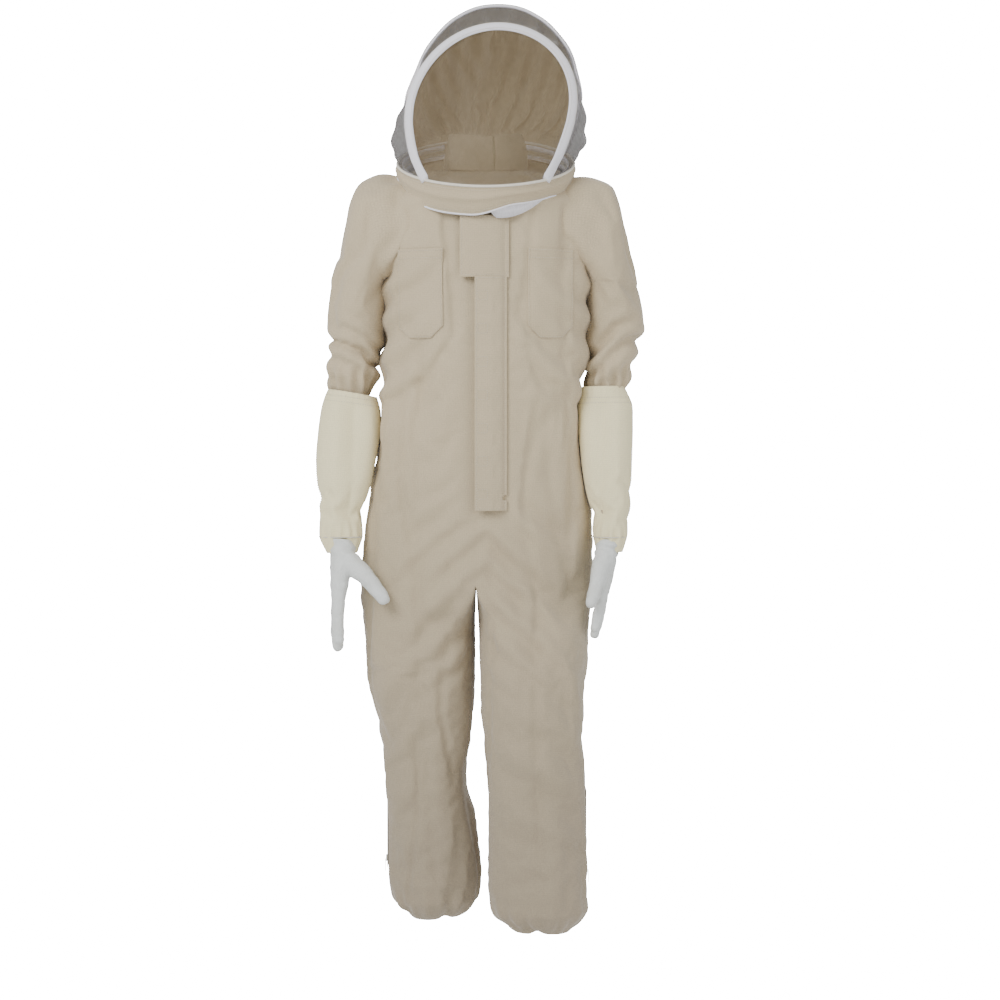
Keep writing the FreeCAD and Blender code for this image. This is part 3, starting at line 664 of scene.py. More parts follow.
def tube(name, path, radius, sides=8, closed=False, flat=1.0, up=(0, 0, 1)):
    """A round or flattened rod along a path of points. flat is its height over its width, width across up."""
    path = np.asarray(path, float)
    ahead = np.roll(path, -1, axis=0) - np.roll(path, 1, axis=0)
    if not closed:
        ahead[0], ahead[-1] = path[1] - path[0], path[-1] - path[-2]
    ahead /= np.linalg.norm(ahead, axis=1)[:, None] + 1e-12
    up = np.broadcast_to(np.asarray(up, float), path.shape)
    across = np.cross(ahead, up)
    across /= np.linalg.norm(across, axis=1)[:, None] + 1e-12
    over = np.cross(across, ahead)
    angle = np.linspace(0, 2 * math.pi, sides, endpoint=False)
    rings = (path[:, None] + radius * (np.cos(angle)[None, :, None] * across[:, None]
                                       + flat * np.sin(angle)[None, :, None] * over[:, None]))
    points = rings.reshape(-1, 3)
    rows = len(path)
    faces = grid_faces(rows, sides)
    if closed:
        last = (rows - 1) * sides
        faces += [(last + k, last + (k + 1) % sides, (k + 1) % sides, k) for k in range(sides)]
    else:
        faces += [tuple(range(sides))[::-1], tuple(range((rows - 1) * sides, rows * sides))]
    along = np.r_[0, np.cumsum(np.linalg.norm(np.diff(path, axis=0), axis=1))]
    uv = np.column_stack([np.tile(angle * radius, rows), np.repeat(along, sides)])
    return new_object(name, points, faces, uv)


def stitches(name, path, out, length=0.0032, gap=0.0014, radius=0.00042):
    """A row of sewn stitches along a path. out is the way out of the cloth, one or one per point."""
    path = np.asarray(path, float)
    out = np.broadcast_to(np.asarray(out, float), path.shape)
    both = np.column_stack([path, out])
    run = np.linalg.norm(np.diff(path, axis=0), axis=1).sum()
    count = max(2, int(run / (length + gap)))
    middles = resample(both, count * 2 + 1, closed=False)[1::2]
    ends = resample(both, count * 2 + 1, closed=False)
    shape = np.array([(-1, 0, 0), (-0.6, 1, 0), (-0.6, 0, 1), (-0.6, -1, 0),
                      (0.6, 1, 0), (0.6, 0, 1), (0.6, -1, 0), (1, 0, 0)])
    solid = [(0, 2, 1), (0, 3, 2), (1, 2, 5, 4), (2, 3, 6, 5), (4, 5, 7), (5, 6, 7)]
    points, faces = [], []
    for k, row in enumerate(middles):
        place, lift = row[:3], row[3:] / (np.linalg.norm(row[3:]) + 1e-12)
        along = ends[2 * k + 2, :3] - ends[2 * k, :3]
        along /= np.linalg.norm(along) + 1e-12
        side = np.cross(lift, along)
        axes = np.array([along * length / 2, side * radius, lift * radius * 1.5])
        faces += [tuple(len(points) * 8 + v for v in f) for f in solid]
        points.append(place + shape @ axes)
    return paint(new_object(name, np.vstack(points), faces), thread_cream)


def patch(name, outline_grid, tree, towards, away, thickness=0.0012):
    """A piece of cloth laid on the surface: outline_grid is rows of points before they are laid."""
    rows, columns = len(outline_grid), len(outline_grid[0])
    flat = np.array(outline_grid).reshape(-1, 3)
    laid = lay_on(tree, flat, towards, away)
    obj = new_object(name, laid, grid_faces(rows, columns, closed=False), flat[:, [0, 2]])
    modify(obj, "SOLIDIFY", thickness=thickness, offset=1.0, use_even_offset=True)
    modify(obj, "BEVEL", width=thickness * 0.4, segments=2)
    apply_modifiers(obj)
    return obj


# ------------------------------------------------------------------ more materials

def leather(name, colour):
    mat, shader, add, link = material(name, colour, 0.5)
    place = add("ShaderNodeTexCoord").outputs["Object"]
    grain = add("ShaderNodeTexVoronoi", {"Vector": place, "Scale": 620.0},
                feature="DISTANCE_TO_EDGE").outputs[0]
    pores = add("ShaderNodeMapRange", {"Value": grain, "From Min": 0.0, "From Max": 0.25}).outputs[0]
    creases = add("ShaderNodeTexNoise", {"Vector": place, "Scale": 55.0, "Detail": 6.0, "Roughness": 0.65,
                                         "Distortion": 1.2}).outputs["Fac"]
    soil_and_low_shade = add("ShaderNodeTexNoise", {"Vector": place, "Scale": 24.0, "Detail": 5.0}).outputs["Fac"]
    soil_and_low_shade = add("ShaderNodeMapRange", {"Value": soil_and_low_shade, "From Min": 0.42, "From Max": 0.75}).outputs[0]
    base = mix_colours(add, soil_and_low_shade, colour, tuple(c * k for c, k in zip(colour, (0.88, 0.86, 0.82))))
    dark = mix_colours(add, pores, tuple(c * 0.82 for c in colour), base)
    link(dark, shader.inputs["Base Color"])
    broad = add("ShaderNodeBump", {"Height": creases, "Strength": 0.5, "Distance": 0.003}).outputs[0]
    fine = add("ShaderNodeBump", {
        "Height": pores, "Strength": 0.3, "Distance": 0.0004, "Normal": broad,
    }).outputs[0]
    link(fine, shader.inputs["Normal"])
    return mat


def plain(name, colour, roughness, metallic=0.0, grain=300.0, depth=0.0003):
    """Moulded plastic or plated metal with a little surface variation."""
    mat, shader, add, link = material(name, colour, roughness)
    shader.inputs["Metallic"].default_value = metallic
    place = add("ShaderNodeTexCoord").outputs["Object"]
    speck = add("ShaderNodeTexNoise", {"Vector": place, "Scale": grain, "Detail": 4.0}).outputs["Fac"]
    link(mix_colours(add, speck, tuple(c * 0.85 for c in colour), colour), shader.inputs["Base Color"])
    rough = add("ShaderNodeMapRange", {"Value": speck, "To Min": roughness * 0.8, "To Max": roughness * 1.2})
    link(rough.outputs[0], shader.inputs["Roughness"])
    link(add("ShaderNodeBump", {"Height": speck, "Strength": 0.2, "Distance": depth}).outputs[0],
         shader.inputs["Normal"])
    return mat


def net(name, colour, hole=0.0014, cover=0.36):
    """Fine see-through net. hole is the mesh size in metres and cover the share of it that is yarn."""
    mat, shader, add, link = material(name, colour, 0.6)
    cloth_map = add("ShaderNodeUVMap", uv_map="cloth").outputs[0]
    turned = add("ShaderNodeMapping", {"Vector": cloth_map, "Rotation": (0, 0, math.radians(45))}).outputs[0]
    yarns = []
    for direction in ("X", "Y"):
        yarns.append(add("ShaderNodeTexWave", {"Vector": turned, "Scale": 0.314 / hole, "Distortion": 0.0},
                         bands_direction=direction).outputs["Fac"])
    thick = add("ShaderNodeMath", {0: yarns[0], 1: yarns[1]}, operation="MAXIMUM").outputs[0]
    yarn = add("ShaderNodeMath", {0: thick, 1: 1.0 - 0.5 * cover}, operation="GREATER_THAN").outputs[0]
    view = add("ShaderNodeLayerWeight", {"Blend": 0.35}).outputs["Facing"]
    grazing = add("ShaderNodeMath", {0: view, 1: 0.35}, operation="MULTIPLY").outputs[0]
    solid = add("ShaderNodeMath", {0: yarn, 1: grazing}, operation="MAXIMUM", use_clamp=True).outputs[0]
    link(solid, shader.inputs["Alpha"])
    shader.inputs["Sheen Weight"].default_value = 0.2
    return mat


def tape_material(name, colour):
    return woven(name, colour, thread=0.0007, fuzz=0.1, wear=0.05, crumple=0.1)


thread_cream = plain("sewing_thread", (0.66, 0.60, 0.49), 0.8)
canvas = woven("gauntlet_canvas", (0.90, 0.82, 0.52), thread=0.0013, fuzz=0.25, wear=0.06, crumple=0.3)
hide = leather("white_hide", (0.80, 0.83, 0.81))
binding = tape_material("white_binding", (0.86, 0.85, 0.90))
cream_tape = tape_material("cream_piping", (0.80, 0.76, 0.66))
zip_plastic = plain("zip_teeth", (0.78, 0.74, 0.62), 0.35)
zip_metal = plain("zip_metal", (0.62, 0.61, 0.58), 0.32, metallic=1.0)
dark_net = net("dark_net", (0.120, 0.112, 0.108), cover=0.47)
front_net = net("front_net", (0.155, 0.110, 0.055), hole=0.0016, cover=0.44)
elastic_tape = tape_material("elastic", (0.74, 0.69, 0.56))
# CAD parts that stay as they are, and the material each one gets
CARRIED = (
    (woven("carried_zip_tape", (0.66, 0.60, 0.48), thread=0.0007, crumple=0.1, mapped=False),
     ("front_zip_tapes", "front_zip_bottom_stop", "ankle_zip_left", "ankle_zip_right")),
    (woven("carried_hook_and_loop", (0.50, 0.43, 0.34), thread=0.0008, fuzz=0.9, crumple=0.1, mapped=False),
     ("placket_hook_tape", "throat_hook_patch", "throat_loop_patch")),
    (woven("carried_khaki", KHAKI, mapped=False), ("hang_loop",)),
    (zip_metal, ("front_zip_slider", "ankle_zip_slider_left", "ankle_zip_slider_right",
                 "neck_zip_slider_left", "neck_zip_slider_right")),
)
for carried_material, carried_nodes in CARRIED:
    for node in carried_nodes:
        paint(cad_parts[node], carried_material)


# ------------------------------------------------------------------ sleeves

SLEEVE_RING = 50
UNDERARM = (0.197, 1.238)
# fan angle in degrees from straight up, reach out from the underarm, half depth
SHOULDER = [(-10, 0.203, 0.100), (0, 0.209, 0.100), (14, 0.200, 0.099), (22, 0.177, 0.097),
            (33, 0.139, 0.094), (59, 0.103, 0.090), (90, 0.097, 0.086)]
# height, middle x, half width, half depth, middle y
SLEEVE = {
    "right": [
        (1.238, 0.2455, 0.0485, 0.086, 0.000),
        (1.180, 0.2495, 0.0500, 0.080, 0.000),
        (1.130, 0.2530, 0.0510, 0.071, 0.000),
        (1.095, 0.2555, 0.0505, 0.064, -0.003),
        (1.060, 0.2580, 0.0500, 0.058, -0.005),
        (1.036, 0.2595, 0.0440, 0.050, -0.007),
        (1.015, 0.2600, 0.0370, 0.042, -0.009),
        (0.990, 0.2610, 0.0350, 0.040, -0.012),
    ],
    "left": [
        (1.238, 0.2455, 0.0485, 0.086, 0.000),
        (1.200, 0.2480, 0.0510, 0.082, 0.000),
        (1.170, 0.2495, 0.0520, 0.078, 0.000),
        (1.130, 0.2465, 0.0500, 0.070, 0.000),
        (1.095, 0.2430, 0.0480, 0.063, -0.003),
        (1.062, 0.2380, 0.0430, 0.053, -0.006),
        (1.042, 0.2330, 0.0380, 0.047, -0.008),
        (1.020, 0.2300, 0.0330, 0.040, -0.010),
        (0.990, 0.2300, 0.0320, 0.038, -0.014),
    ],
}
CAP_CUT = 1.165


def ring_of(count, power=2.0):
    angle = np.linspace(0, 2 * math.pi, 240, endpoint=False)
    x, y = superellipse(angle, power)
    return resample(np.column_stack([x, y]), count)


def armhole(unit, side):
    """The ring where the sleeve joins the body, found on the body's own surface, as if on the +x side."""
    ring = []
    for u, v in unit:
        start = Vector((side * 0.5, 0.1 * v, 1.337 + 0.1 * u))
        hit = torso_tree.ray_cast(start, Vector((-side, 0, 0)))[0]
        ring.append((abs(hit.x) if hit is not None else 0.16, 0.1 * v, start.z))
    return np.array(ring)


def build_sleeve(word, side):
    """The sleeve from inside the armhole to inside the gauntlet, wrinkled, and cut in two at the underarm."""
    unit = ring_of(SLEEVE_RING, 2.2)
    sewn = armhole(unit, side)
    leans = np.linspace(-6, 90, 24)
    rows = [sewn - (0.030, 0, 0), sewn - (0.002, 0, 0)]
    for lean, (reach, depth) in zip(leans, smooth_rows(SHOULDER, leans)):
        reach *= 1 - 0.035 * (side > 0) * ramp(lean, 75, 10)
        way = np.array([math.sin(math.radians(lean)), math.cos(math.radians(lean))])
        plane = np.array(UNDERARM) + way * reach / 2 + unit[:, :1] * way * reach / 2
        fan = np.column_stack([plane[:, 0], unit[:, 1] * depth, plane[:, 1]])
        settled = ramp(lean, -10, 16)
        near = sewn + (0.030 * (lean + 10) / 26, 0, 0) * np.clip(unit[:, :1] * 0.5 + 0.5, 0.02, 1)
        rows.append(near * (1 - settled) + fan * settled)
    for z in np.linspace(UNDERARM[1], 0.992, 28)[1:]:
        x, w, d, y = smooth_rows(SLEEVE[word], z)[0]
        rows.append(np.column_stack([x + unit[:, 0] * w, y + unit[:, 1] * d, np.full(SLEEVE_RING, z)]))
    count = len(rows)
    points = np.vstack(rows)
    down = np.repeat(np.arange(count) * 0.009, SLEEVE_RING)
    round_way = np.tile(np.arange(SLEEVE_RING) * 0.0095, count)
    points[:, 0] *= side
    faces = grid_faces(count, SLEEVE_RING)
    if side < 0:
        faces = [f[::-1] for f in faces]
    whole = new_object(f"sleeve_{word}_cloth", points, faces, np.column_stack([round_way, down]))
    row = np.repeat(np.arange(count), SLEEVE_RING)
    z = points[:, 2]
    low = ramp(z, 1.20, 1.12) * ramp(z, 1.030, 1.055)
    swirl = z * 150 - 105 * points[:, 0] * side + 4.5 * noise_at(points, (8, 8, 8), 11 + side)
    out = 0.0045 * low * np.sin(swirl) + 0.006 * noise_at(points, (11, 11, 6), 14 + side) * ramp(row, 2, 9)
    crease = 1 - np.abs(noise_at(points, (12, 12, 4), 16 + side))
    out += 0.006 * (ramp(crease, 0.80, 1.0) - 0.25) * ramp(row, 4, 12)
    gathers = np.exp(-((z - 1.046) / 0.024) ** 2)
    middle = (side * smooth_rows(SLEEVE[word], 1.05)[0][0], -0.006)
    out += pleats(points, middle, 13, 0.0075 * gathers)
    set_points(whole, points + normals_of(whole) * out[:, None])
    goal = np.maximum(np.full(len(points), 0.14), ramp(row, 3, 1))
    goal = np.maximum(goal, ramp(z, 1.045, 1.030))
    wrinkle(whole, goal, growth=0.055, frames=14, gravity=0.5)
    modify(whole, "SUBSURF", levels=1, render_levels=1)
    apply_modifiers(whole)
    paint(whole, khaki)
    cap = split(whole, f"sleeve_cap_{word}", lambda c: c[:, 2] > CAP_CUT)
    lower = split(whole, f"sleeve_{word}", lambda c: c[:, 2] <= CAP_CUT)
    bpy.data.objects.remove(whole)
    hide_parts(f"upper_sleeve_{word}")
    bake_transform(cap)
    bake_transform(lower)


def limb_tube(name, rows, count, side, cell=0.009, power=2.0, seed=0, lump=0.003):
    """An upright tube of cloth through rows of height, middle x, half width, half depth, middle y."""
    top, bottom = rows[0][0], rows[-1][0]
    heights = np.linspace(top, bottom, max(4, int((top - bottom) / cell)))
    unit = ring_of(count, power)
    table = smooth_rows(rows, heights)
    points = np.vstack([
        np.column_stack([side * (x + unit[:, 0] * w), y + unit[:, 1] * d, np.full(count, z)])
        for z, (x, w, d, y) in zip(heights, table)
    ])
    faces = grid_faces(len(heights), count)
    if side < 0:
        faces = [f[::-1] for f in faces]
    uv = np.column_stack([np.tile(np.arange(count) * cell, len(heights)), points[:, 2]])
    obj = new_object(name, points, faces, uv)
    out = lump * noise_at(points, (14, 14, 7), seed)
    set_points(obj, points + normals_of(obj) * out[:, None])
    return obj


# height, half width, half depth of the sleeve's end inside the gauntlet
INNER_SLEEVE = [(1.000, 0.028, 0.031), (0.900, 0.030, 0.032), (0.800, 0.026, 0.030), (0.785, 0.0240, 0.026),
                (0.770, 0.0225, 0.0245), (0.762, 0.0240, 0.0265)]
MOUTH_SLOPE = {"right": 0.17, "left": 0.02}


def arm_line(word, height):
    """Middle x and y of the forearm at a height."""
    x, _, _, y = smooth_rows(GAUNTLET[word], height)[0]
    return x, y


def build_arm(word, side):
    build_sleeve(word, side)
    inner_rows = [(z, arm_line(word, z)[0], w, d, arm_line(word, z)[1]) for z, w, d in INNER_SLEEVE]
    inner = limb_tube(f"sleeve_end_{word}", inner_rows, 36, side, seed=21)
    points = points_of(inner)
    gather = np.exp(-((points[:, 2] - 0.772) / 0.018) ** 2)
    wrist_x, wrist_y = arm_line(word, 0.772)
    out = pleats(points, (side * wrist_x, wrist_y), 15, 0.002 * gather)
    set_points(inner, points + normals_of(inner) * out[:, None])
    modify(inner, "SUBSURF", levels=1, render_levels=1)
    apply_modifiers(inner)
    paint(inner, khaki)
    attach(inner, f"forearm_{word}", (f"lower_sleeve_{word}", f"sleeve_cuff_elastic_{word}"))

    rows = GAUNTLET[word]
    gauntlet = limb_tube(f"gauntlet_{word}", rows, 54, side, cell=0.007, power=2.2, seed=31 + side,
                         lump=0.0035)
    points = points_of(gauntlet)
    z = points[:, 2]
    mouth_x, mouth_y = arm_line(word, 1.015)
    wrist_x, wrist_y = arm_line(word, 0.748)
    mouth = np.exp(-((z - 1.020) / 0.012) ** 2)
    wrist = np.exp(-((z - 0.748) / 0.020) ** 2)
    out = pleats(points, (side * mouth_x, mouth_y), 26, 0.0026 * mouth)
    out += pleats(points, (side * wrist_x, wrist_y), 13, 0.0030 * wrist)
    # a pressed fold down the front of the cuff
    across = side * points[:, 0] - smooth_rows(rows, z)[:, 0]
    fold = np.maximum(0, 1 - np.abs(across + 0.012 + 0.06 * (0.95 - z)) / 0.032)
    out += 0.011 * fold * (points[:, 1] < -0.02) * ramp(z, 0.74, 0.80) * ramp(z, 1.02, 0.99)
    out += 0.003 * noise_at(points, (12, 12, 6), 37 + side) * ramp(z, 0.80, 0.86) * ramp(z, 1.02, 0.98)
    lifted = points + normals_of(gauntlet) * out[:, None]
    lifted[:, 2] += MOUTH_SLOPE[word] * across * ramp(z, 0.96, 1.015)
    set_points(gauntlet, lifted)
    goal = np.maximum(np.full(len(points), 0.20), np.maximum(ramp(z, 1.000, 1.018), ramp(z, 0.775, 0.750)))
    wrinkle(gauntlet, goal, growth=0.014, frames=10, bending=6.0, gravity=0.4)
    modify(gauntlet, "SOLIDIFY", thickness=0.0012, offset=-1.0)
    modify(gauntlet, "SUBSURF", levels=1, render_levels=1)
    apply_modifiers(gauntlet)
    paint(gauntlet, canvas)
    attach(gauntlet, f"glove_{word}", (f"gauntlet_{word}",))
    tree = surface_of(gauntlet)
    sewn = []
    for z in (1.002, 1.012):
        laid, outward = [], []
        for a in np.linspace(0, 2 * math.pi, 120):
            tilt = MOUTH_SLOPE[word] * 0.045 * math.cos(a)
            middle = Vector((side * mouth_x, mouth_y, z + tilt))
            far = middle + Vector((side * 0.09 * math.cos(a), 0.09 * math.sin(a), 0))
            way = (middle - far).normalized()
            hit = tree.ray_cast(far, way)[0]
            if hit is not None:
                laid.append(tuple(hit - way * 0.0004))
                outward.append(tuple(-way))
        sewn.append(stitches(f"gauntlet_stitch_{word}_{len(sewn)}", laid, outward))
    seam = [(side * 0.4, arm_line(word, z)[1], z) for z in np.linspace(0.99, 0.77, 60)]
    laid = lay_on(tree, seam, (-side, 0, 0), 0.0004)
    for shift in (-0.003, 0.003):
        sewn.append(stitches(f"gauntlet_seam_{word}_{len(sewn)}", laid + (0, shift, 0), (side, 0, 0)))
    detail = join(f"gauntlet_stitching_{word}", sewn)
    attach(detail, f"glove_{word}")
    _, w, d, _ = smooth_rows(rows, 0.745)[0]
    ring = [(side * wrist_x + (w - 0.002) * math.cos(a), wrist_y + (d - 0.002) * math.sin(a), 0.745)
            for a in np.linspace(0, 2 * math.pi, 48, endpoint=False)]
    band = tube(f"wrist_band_{word}", ring, 0.0055, 10, closed=True, flat=0.35, up=(0, 0, 1))
    paint(band, elastic_tape)
    attach(band, f"glove_{word}", (f"wrist_elastic_{word}",))


# ------------------------------------------------------------------ gloves

def ball_points():
    ball = bmesh.new()
    bmesh.ops.create_icosphere(ball, subdivisions=2, radius=1.0)
    points = np.array([tuple(v.co) for v in ball.verts])
    ball.free()
    return points


BALL = ball_points()


def capsule(bm, a, b, ra, rb):
    """The hull of two balls, added to bm."""
    hull = bmesh.new()
    for point in np.vstack([BALL * ra + a, BALL * rb + b]):
        hull.verts.new(point)
    made = bmesh.ops.convex_hull(hull, input=hull.verts[:])
    bmesh.ops.delete(hull, geom=[v for v in made["geom_interior"] if isinstance(v, bmesh.types.BMVert)],
                     context="VERTS")
    own = {v: bm.verts.new(v.co) for v in hull.verts}
    for face in hull.faces:
        bm.faces.new([own[v] for v in face.verts])
    hull.free()


# each hand: wrist x, turn of the thumb side in degrees, lean of the fingers, size, and which way the thumb
# points (towards the thumb side, down, towards the palm)
HAND = {
    "right": (0.2745, 6, (0.075, -0.08, -1.0), 1.13, (0.30, 0.62, 0.80)),
    "left": (0.2370, 8, (-0.125, -0.06, -1.0), 1.00, (0.50, 0.85, 0.12)),
}


def build_hand(word, side):
    wrist_x, turn, lean, size, thumb = HAND[word]
    turn = math.radians(turn)
    thumb_way = np.array([-side * math.sin(turn), -math.cos(turn), 0]) * size
    palm_way = np.array([-side * math.cos(turn), math.sin(turn), 0]) * size
    wrist = np.array([side * wrist_x, -0.0620, 0.735])
    down = np.array([side * lean[0], *lean[1:]])
    axis = down / np.linalg.norm(down)
    down = axis * size

    def at(across, along, depth=0.0):
        return wrist + thumb_way * across + down * along + palm_way * depth

    bm = bmesh.new()
    # knuckle place across the hand, knuckle place along it, finger length and radius
    for across, knuckle, length, radius in ((0.030, 0.088, 0.074, 0.0112), (0.010, 0.092, 0.084, 0.0115),
                                            (-0.010, 0.090, 0.078, 0.0110), (-0.029, 0.082, 0.062, 0.0102)):
        spread, radius = across * 1.15, radius * size
        capsule(bm, at(across * 0.55, 0.0), at(across * 0.85, 0.045), 0.0200 * size, 0.0180 * size)
        capsule(bm, at(across * 0.85, 0.045), at(across, knuckle), 0.0180 * size, 0.0135 * size)
        first = at(spread, knuckle + length * 0.45, 0.001)
        second = at(spread * 1.05, knuckle + length * 0.78, 0.003)
        tip = at(spread * 1.05, knuckle + length, 0.006)
        capsule(bm, at(across, knuckle), first, 0.0124 * size, radius)
        capsule(bm, first, second, radius, radius * 0.96)
        capsule(bm, second, tip, radius * 0.96, radius * 0.88)
    way = thumb_way * thumb[0] + down * thumb[1] + palm_way * thumb[2]
    base = at(0.020, 0.026, 0.004)
    joint = base + 0.047 * way + 0.010 * thumb_way
    tip = joint + 0.040 * (way + 0.30 * down)
    capsule(bm, at(0.012, 0.0), base, 0.020 * size, 0.022 * size)
    capsule(bm, base, joint, 0.022 * size, 0.0155 * size)
    capsule(bm, joint, tip, 0.0150 * size, 0.0115 * size)
    mesh = bpy.data.meshes.new(f"glove_hand_{word}")
    bm.to_mesh(mesh)
    bm.free()
    hand = bpy.data.objects.new(f"glove_{word}_hand", mesh)
    bpy.context.scene.collection.objects.link(hand)
    modify(hand, "REMESH", mode="VOXEL", voxel_size=0.0022)
    modify(hand, "SMOOTH", factor=0.6, iterations=6)
    apply_modifiers(hand)
    bm = bmesh.new()
    bm.from_mesh(hand.data)
    bmesh.ops.bisect_plane(bm, geom=bm.verts[:] + bm.edges[:] + bm.faces[:], plane_co=wrist - axis * 0.004,
                           plane_no=-axis, clear_outer=True)
    bm.to_mesh(hand.data)
    bm.free()
    points = points_of(hand)
    along = (points - wrist) @ axis
    folds = 0.0013 * noise_at(points, (70, 70, 70), 41) + 0.0011 * noise_at(points, (30, 30, 95), 43)
    folds += 0.0018 * np.sin(along * 300 + 4 * noise_at(points, (25, 25, 25), 45)) * ramp(along, 0.05, 0.01)
    set_points(hand, points + normals_of(hand) * folds[:, None])
    modify(hand, "SUBSURF", levels=1, render_levels=1)
    apply_modifiers(hand)
    paint(hand, hide)
    attach(hand, f"glove_{word}", (f"glove_hand_{word}",))


for word, side in SIDES.items():
    build_arm(word, side)
    build_hand(word, side)


# ------------------------------------------------------------------ neck, hood and its round zip

def ring_band(name, radii, heights, mat, reach=math.pi, columns=160, thickness=0.0):
    """A band of cloth about the neck zip, from -reach to reach, one radius and height per row."""
    closed = reach >= math.pi - 1e-6
    angles = np.linspace(-reach, reach, columns, endpoint=not closed)
    points = [tuple(ring_point(a, r, h)) for r, h in zip(radii, heights) for a in angles]
    uv = [(a * RING_RADIUS, h) for h in heights for a in angles]
    obj = new_object(name, points, grid_faces(len(radii), columns, closed), uv)
    if thickness:
        modify(obj, "SOLIDIFY", thickness=thickness, offset=0.0)
        apply_modifiers(obj)
    return paint(obj, mat)


SKIRT_TOP, SKIRT_RADIUS = 0.016, 0.1685
HOOD_SWAY = 0.024
HOOP_FRONT, HOOP_REAR = -0.100, 0.045
FRONT_FOOT, REAR_FOOT = 0.751, 1.998
# height, half width of each hoop
FRONT_SIDE = [(1.4135, 0.112), (1.434, 0.123), (1.460, 0.1345), (1.483, 0.1420), (1.508, 0.1485),
              (1.532, 0.1528), (1.554, 0.1540)]
REAR_HOOP = [(1.4935, 0.1535), (1.530, 0.1640), (1.570, 0.1710), (1.605, 0.1700), (1.630, 0.1640),
             (1.653, 0.1560), (1.677, 0.1480), (1.700, 0.1370), (1.723, 0.1195), (1.747, 0.0970),
             (1.765, 0.0700), (1.777, 0.0420), (1.782, 0.0120), (1.7822, 0.0)]
ARCH = 121


def arch(half):
    """A hoop from its foot on the wearer's right over the top to the left one, made from its left half. Its
    crown sways to the wearer's left."""
    half = np.array(half)
    both = np.vstack([half * (-1, 1, 1), half[::-1][1:]])
    both[:, 0] += HOOD_SWAY * ramp(both[:, 2], 1.42, 1.72)
    return resample(both, ARCH, closed=False)


def hoops():
    heights = np.linspace(1.4135, 1.554, 30)
    side = smooth_rows(FRONT_SIDE, heights)[:, 0]
    front = [(x, HOOP_FRONT - 0.034 * ramp(z, 1.48, 1.4135), z) for x, z in zip(side, heights)]
    front += [(0.1540 * math.cos(a), HOOP_FRONT, 1.554 + 0.1540 * math.sin(a))
              for a in np.linspace(0.05, math.pi / 2, 30)]
    levels = 1.4935 + (1.7822 - 1.4935) * np.sin(np.linspace(0, math.pi / 2, 60))
    rear = [(x, HOOP_REAR, z) for x, z in zip(smooth_rows(REAR_HOOP, levels)[:, 0], levels)]
    return arch(front), arch(rear)


def sheet(name, rows, across, mat, growth, gravity=0.3):
    """A sheet of the hood from rows of points, held along its edges and wrinkled between them."""
    rows = np.array(rows)
    count, columns = rows.shape[:2]
    uv = np.empty((count, columns, 2))
    uv[..., 0] = across
    steps = np.linalg.norm(np.diff(rows, axis=0), axis=2)
    uv[..., 1] = np.vstack([np.zeros(columns), np.cumsum(steps, axis=0)])
    obj = new_object(name, rows.reshape(-1, 3), grid_faces(count, columns, closed=False), uv.reshape(-1, 2))
    r, c = np.divmod(np.arange(count * columns), columns)
    edge = np.minimum(np.minimum(r, count - 1 - r), np.minimum(c, columns - 1 - c))
    wrinkle(obj, np.maximum(0.06, ramp(edge, 3, 1)), growth=growth, frames=10, bending=0.8, gravity=gravity)
    modify(obj, "SUBSURF", levels=1, render_levels=1)
    apply_modifiers(obj)
    return paint(obj, mat)


def skirt_edge(angles):
    return np.array([tuple(ring_point(a, SKIRT_RADIUS, SKIRT_TOP)) for a in angles])


def build_window(front):
    """The front net: it fills the front hoop and bows forward. Its foot follows the skirt's round edge."""
    columns, rows = 61, []
    u = np.linspace(-1, 1, columns)
    half = (ARCH - 1) // 2
    foot = skirt_edge(u * FRONT_FOOT)
    for k in np.linspace(0, half - 1, 56):
        share = k / half
        low = int(k)
        right = front[low] + (front[low + 1] - front[low]) * (k - low)
        left = front[ARCH - 1 - low] + (front[ARCH - 2 - low] - front[ARCH - 1 - low]) * (k - low)
        span = (1 - u[:, None]) / 2 * right + (1 + u[:, None]) / 2 * left
        bow = 0.030 * (1 - share ** 2.2)
        span[:, 1] -= bow * (1 - u ** 2)
        chord = (1 - u[:, None]) / 2 * foot[0] + (1 + u[:, None]) / 2 * foot[-1]
        chord[:, 1] -= 0.030 * (1 - u ** 2)
        rows.append(span + (foot - chord) * ramp(share, 0.24, 0.0))
    return sheet("veil_window", rows, u * 0.16, front_net, 0.008)


def build_crown(front, rear):
    """The side and top net between the two hoops, full at the sides and slack over the top."""
    s = np.linspace(0, 1, ARCH)
    side = np.sign(s - 0.5)
    low = np.minimum(s, 1 - s) * 2
    rows = []
    for t in np.linspace(0, 1, 24):
        row = front * (1 - t) + rear * t
        bulge = 4 * t * (1 - t)
        full = np.exp(-((low - 0.20) / 0.15) ** 2)
        ripple = 0.0030 * np.sin(low * 46 + 3 * t) * ramp(low, 0.02, 0.12)
        row[:, 0] += side * bulge * ((0.019 + 0.003 * side) * full + ripple)
        row[:, 2] -= bulge * 0.006 * ramp(low, 0.55, 0.9)
        for end, sign in ((0, -1), (-1, 1)):
            target = skirt_edge([sign * (FRONT_FOOT + (REAR_FOOT - FRONT_FOOT) * t)])[0]
            near = low * (s < 0.5) + (s >= 0.5) if sign < 0 else low * (s >= 0.5) + (s < 0.5)
            row += (target - row[end]) * ramp(near, 0.30, 0.0)[:, None]
        rows.append(row)
    return sheet("veil_crown", rows, s * 0.9, dark_net, 0.022)


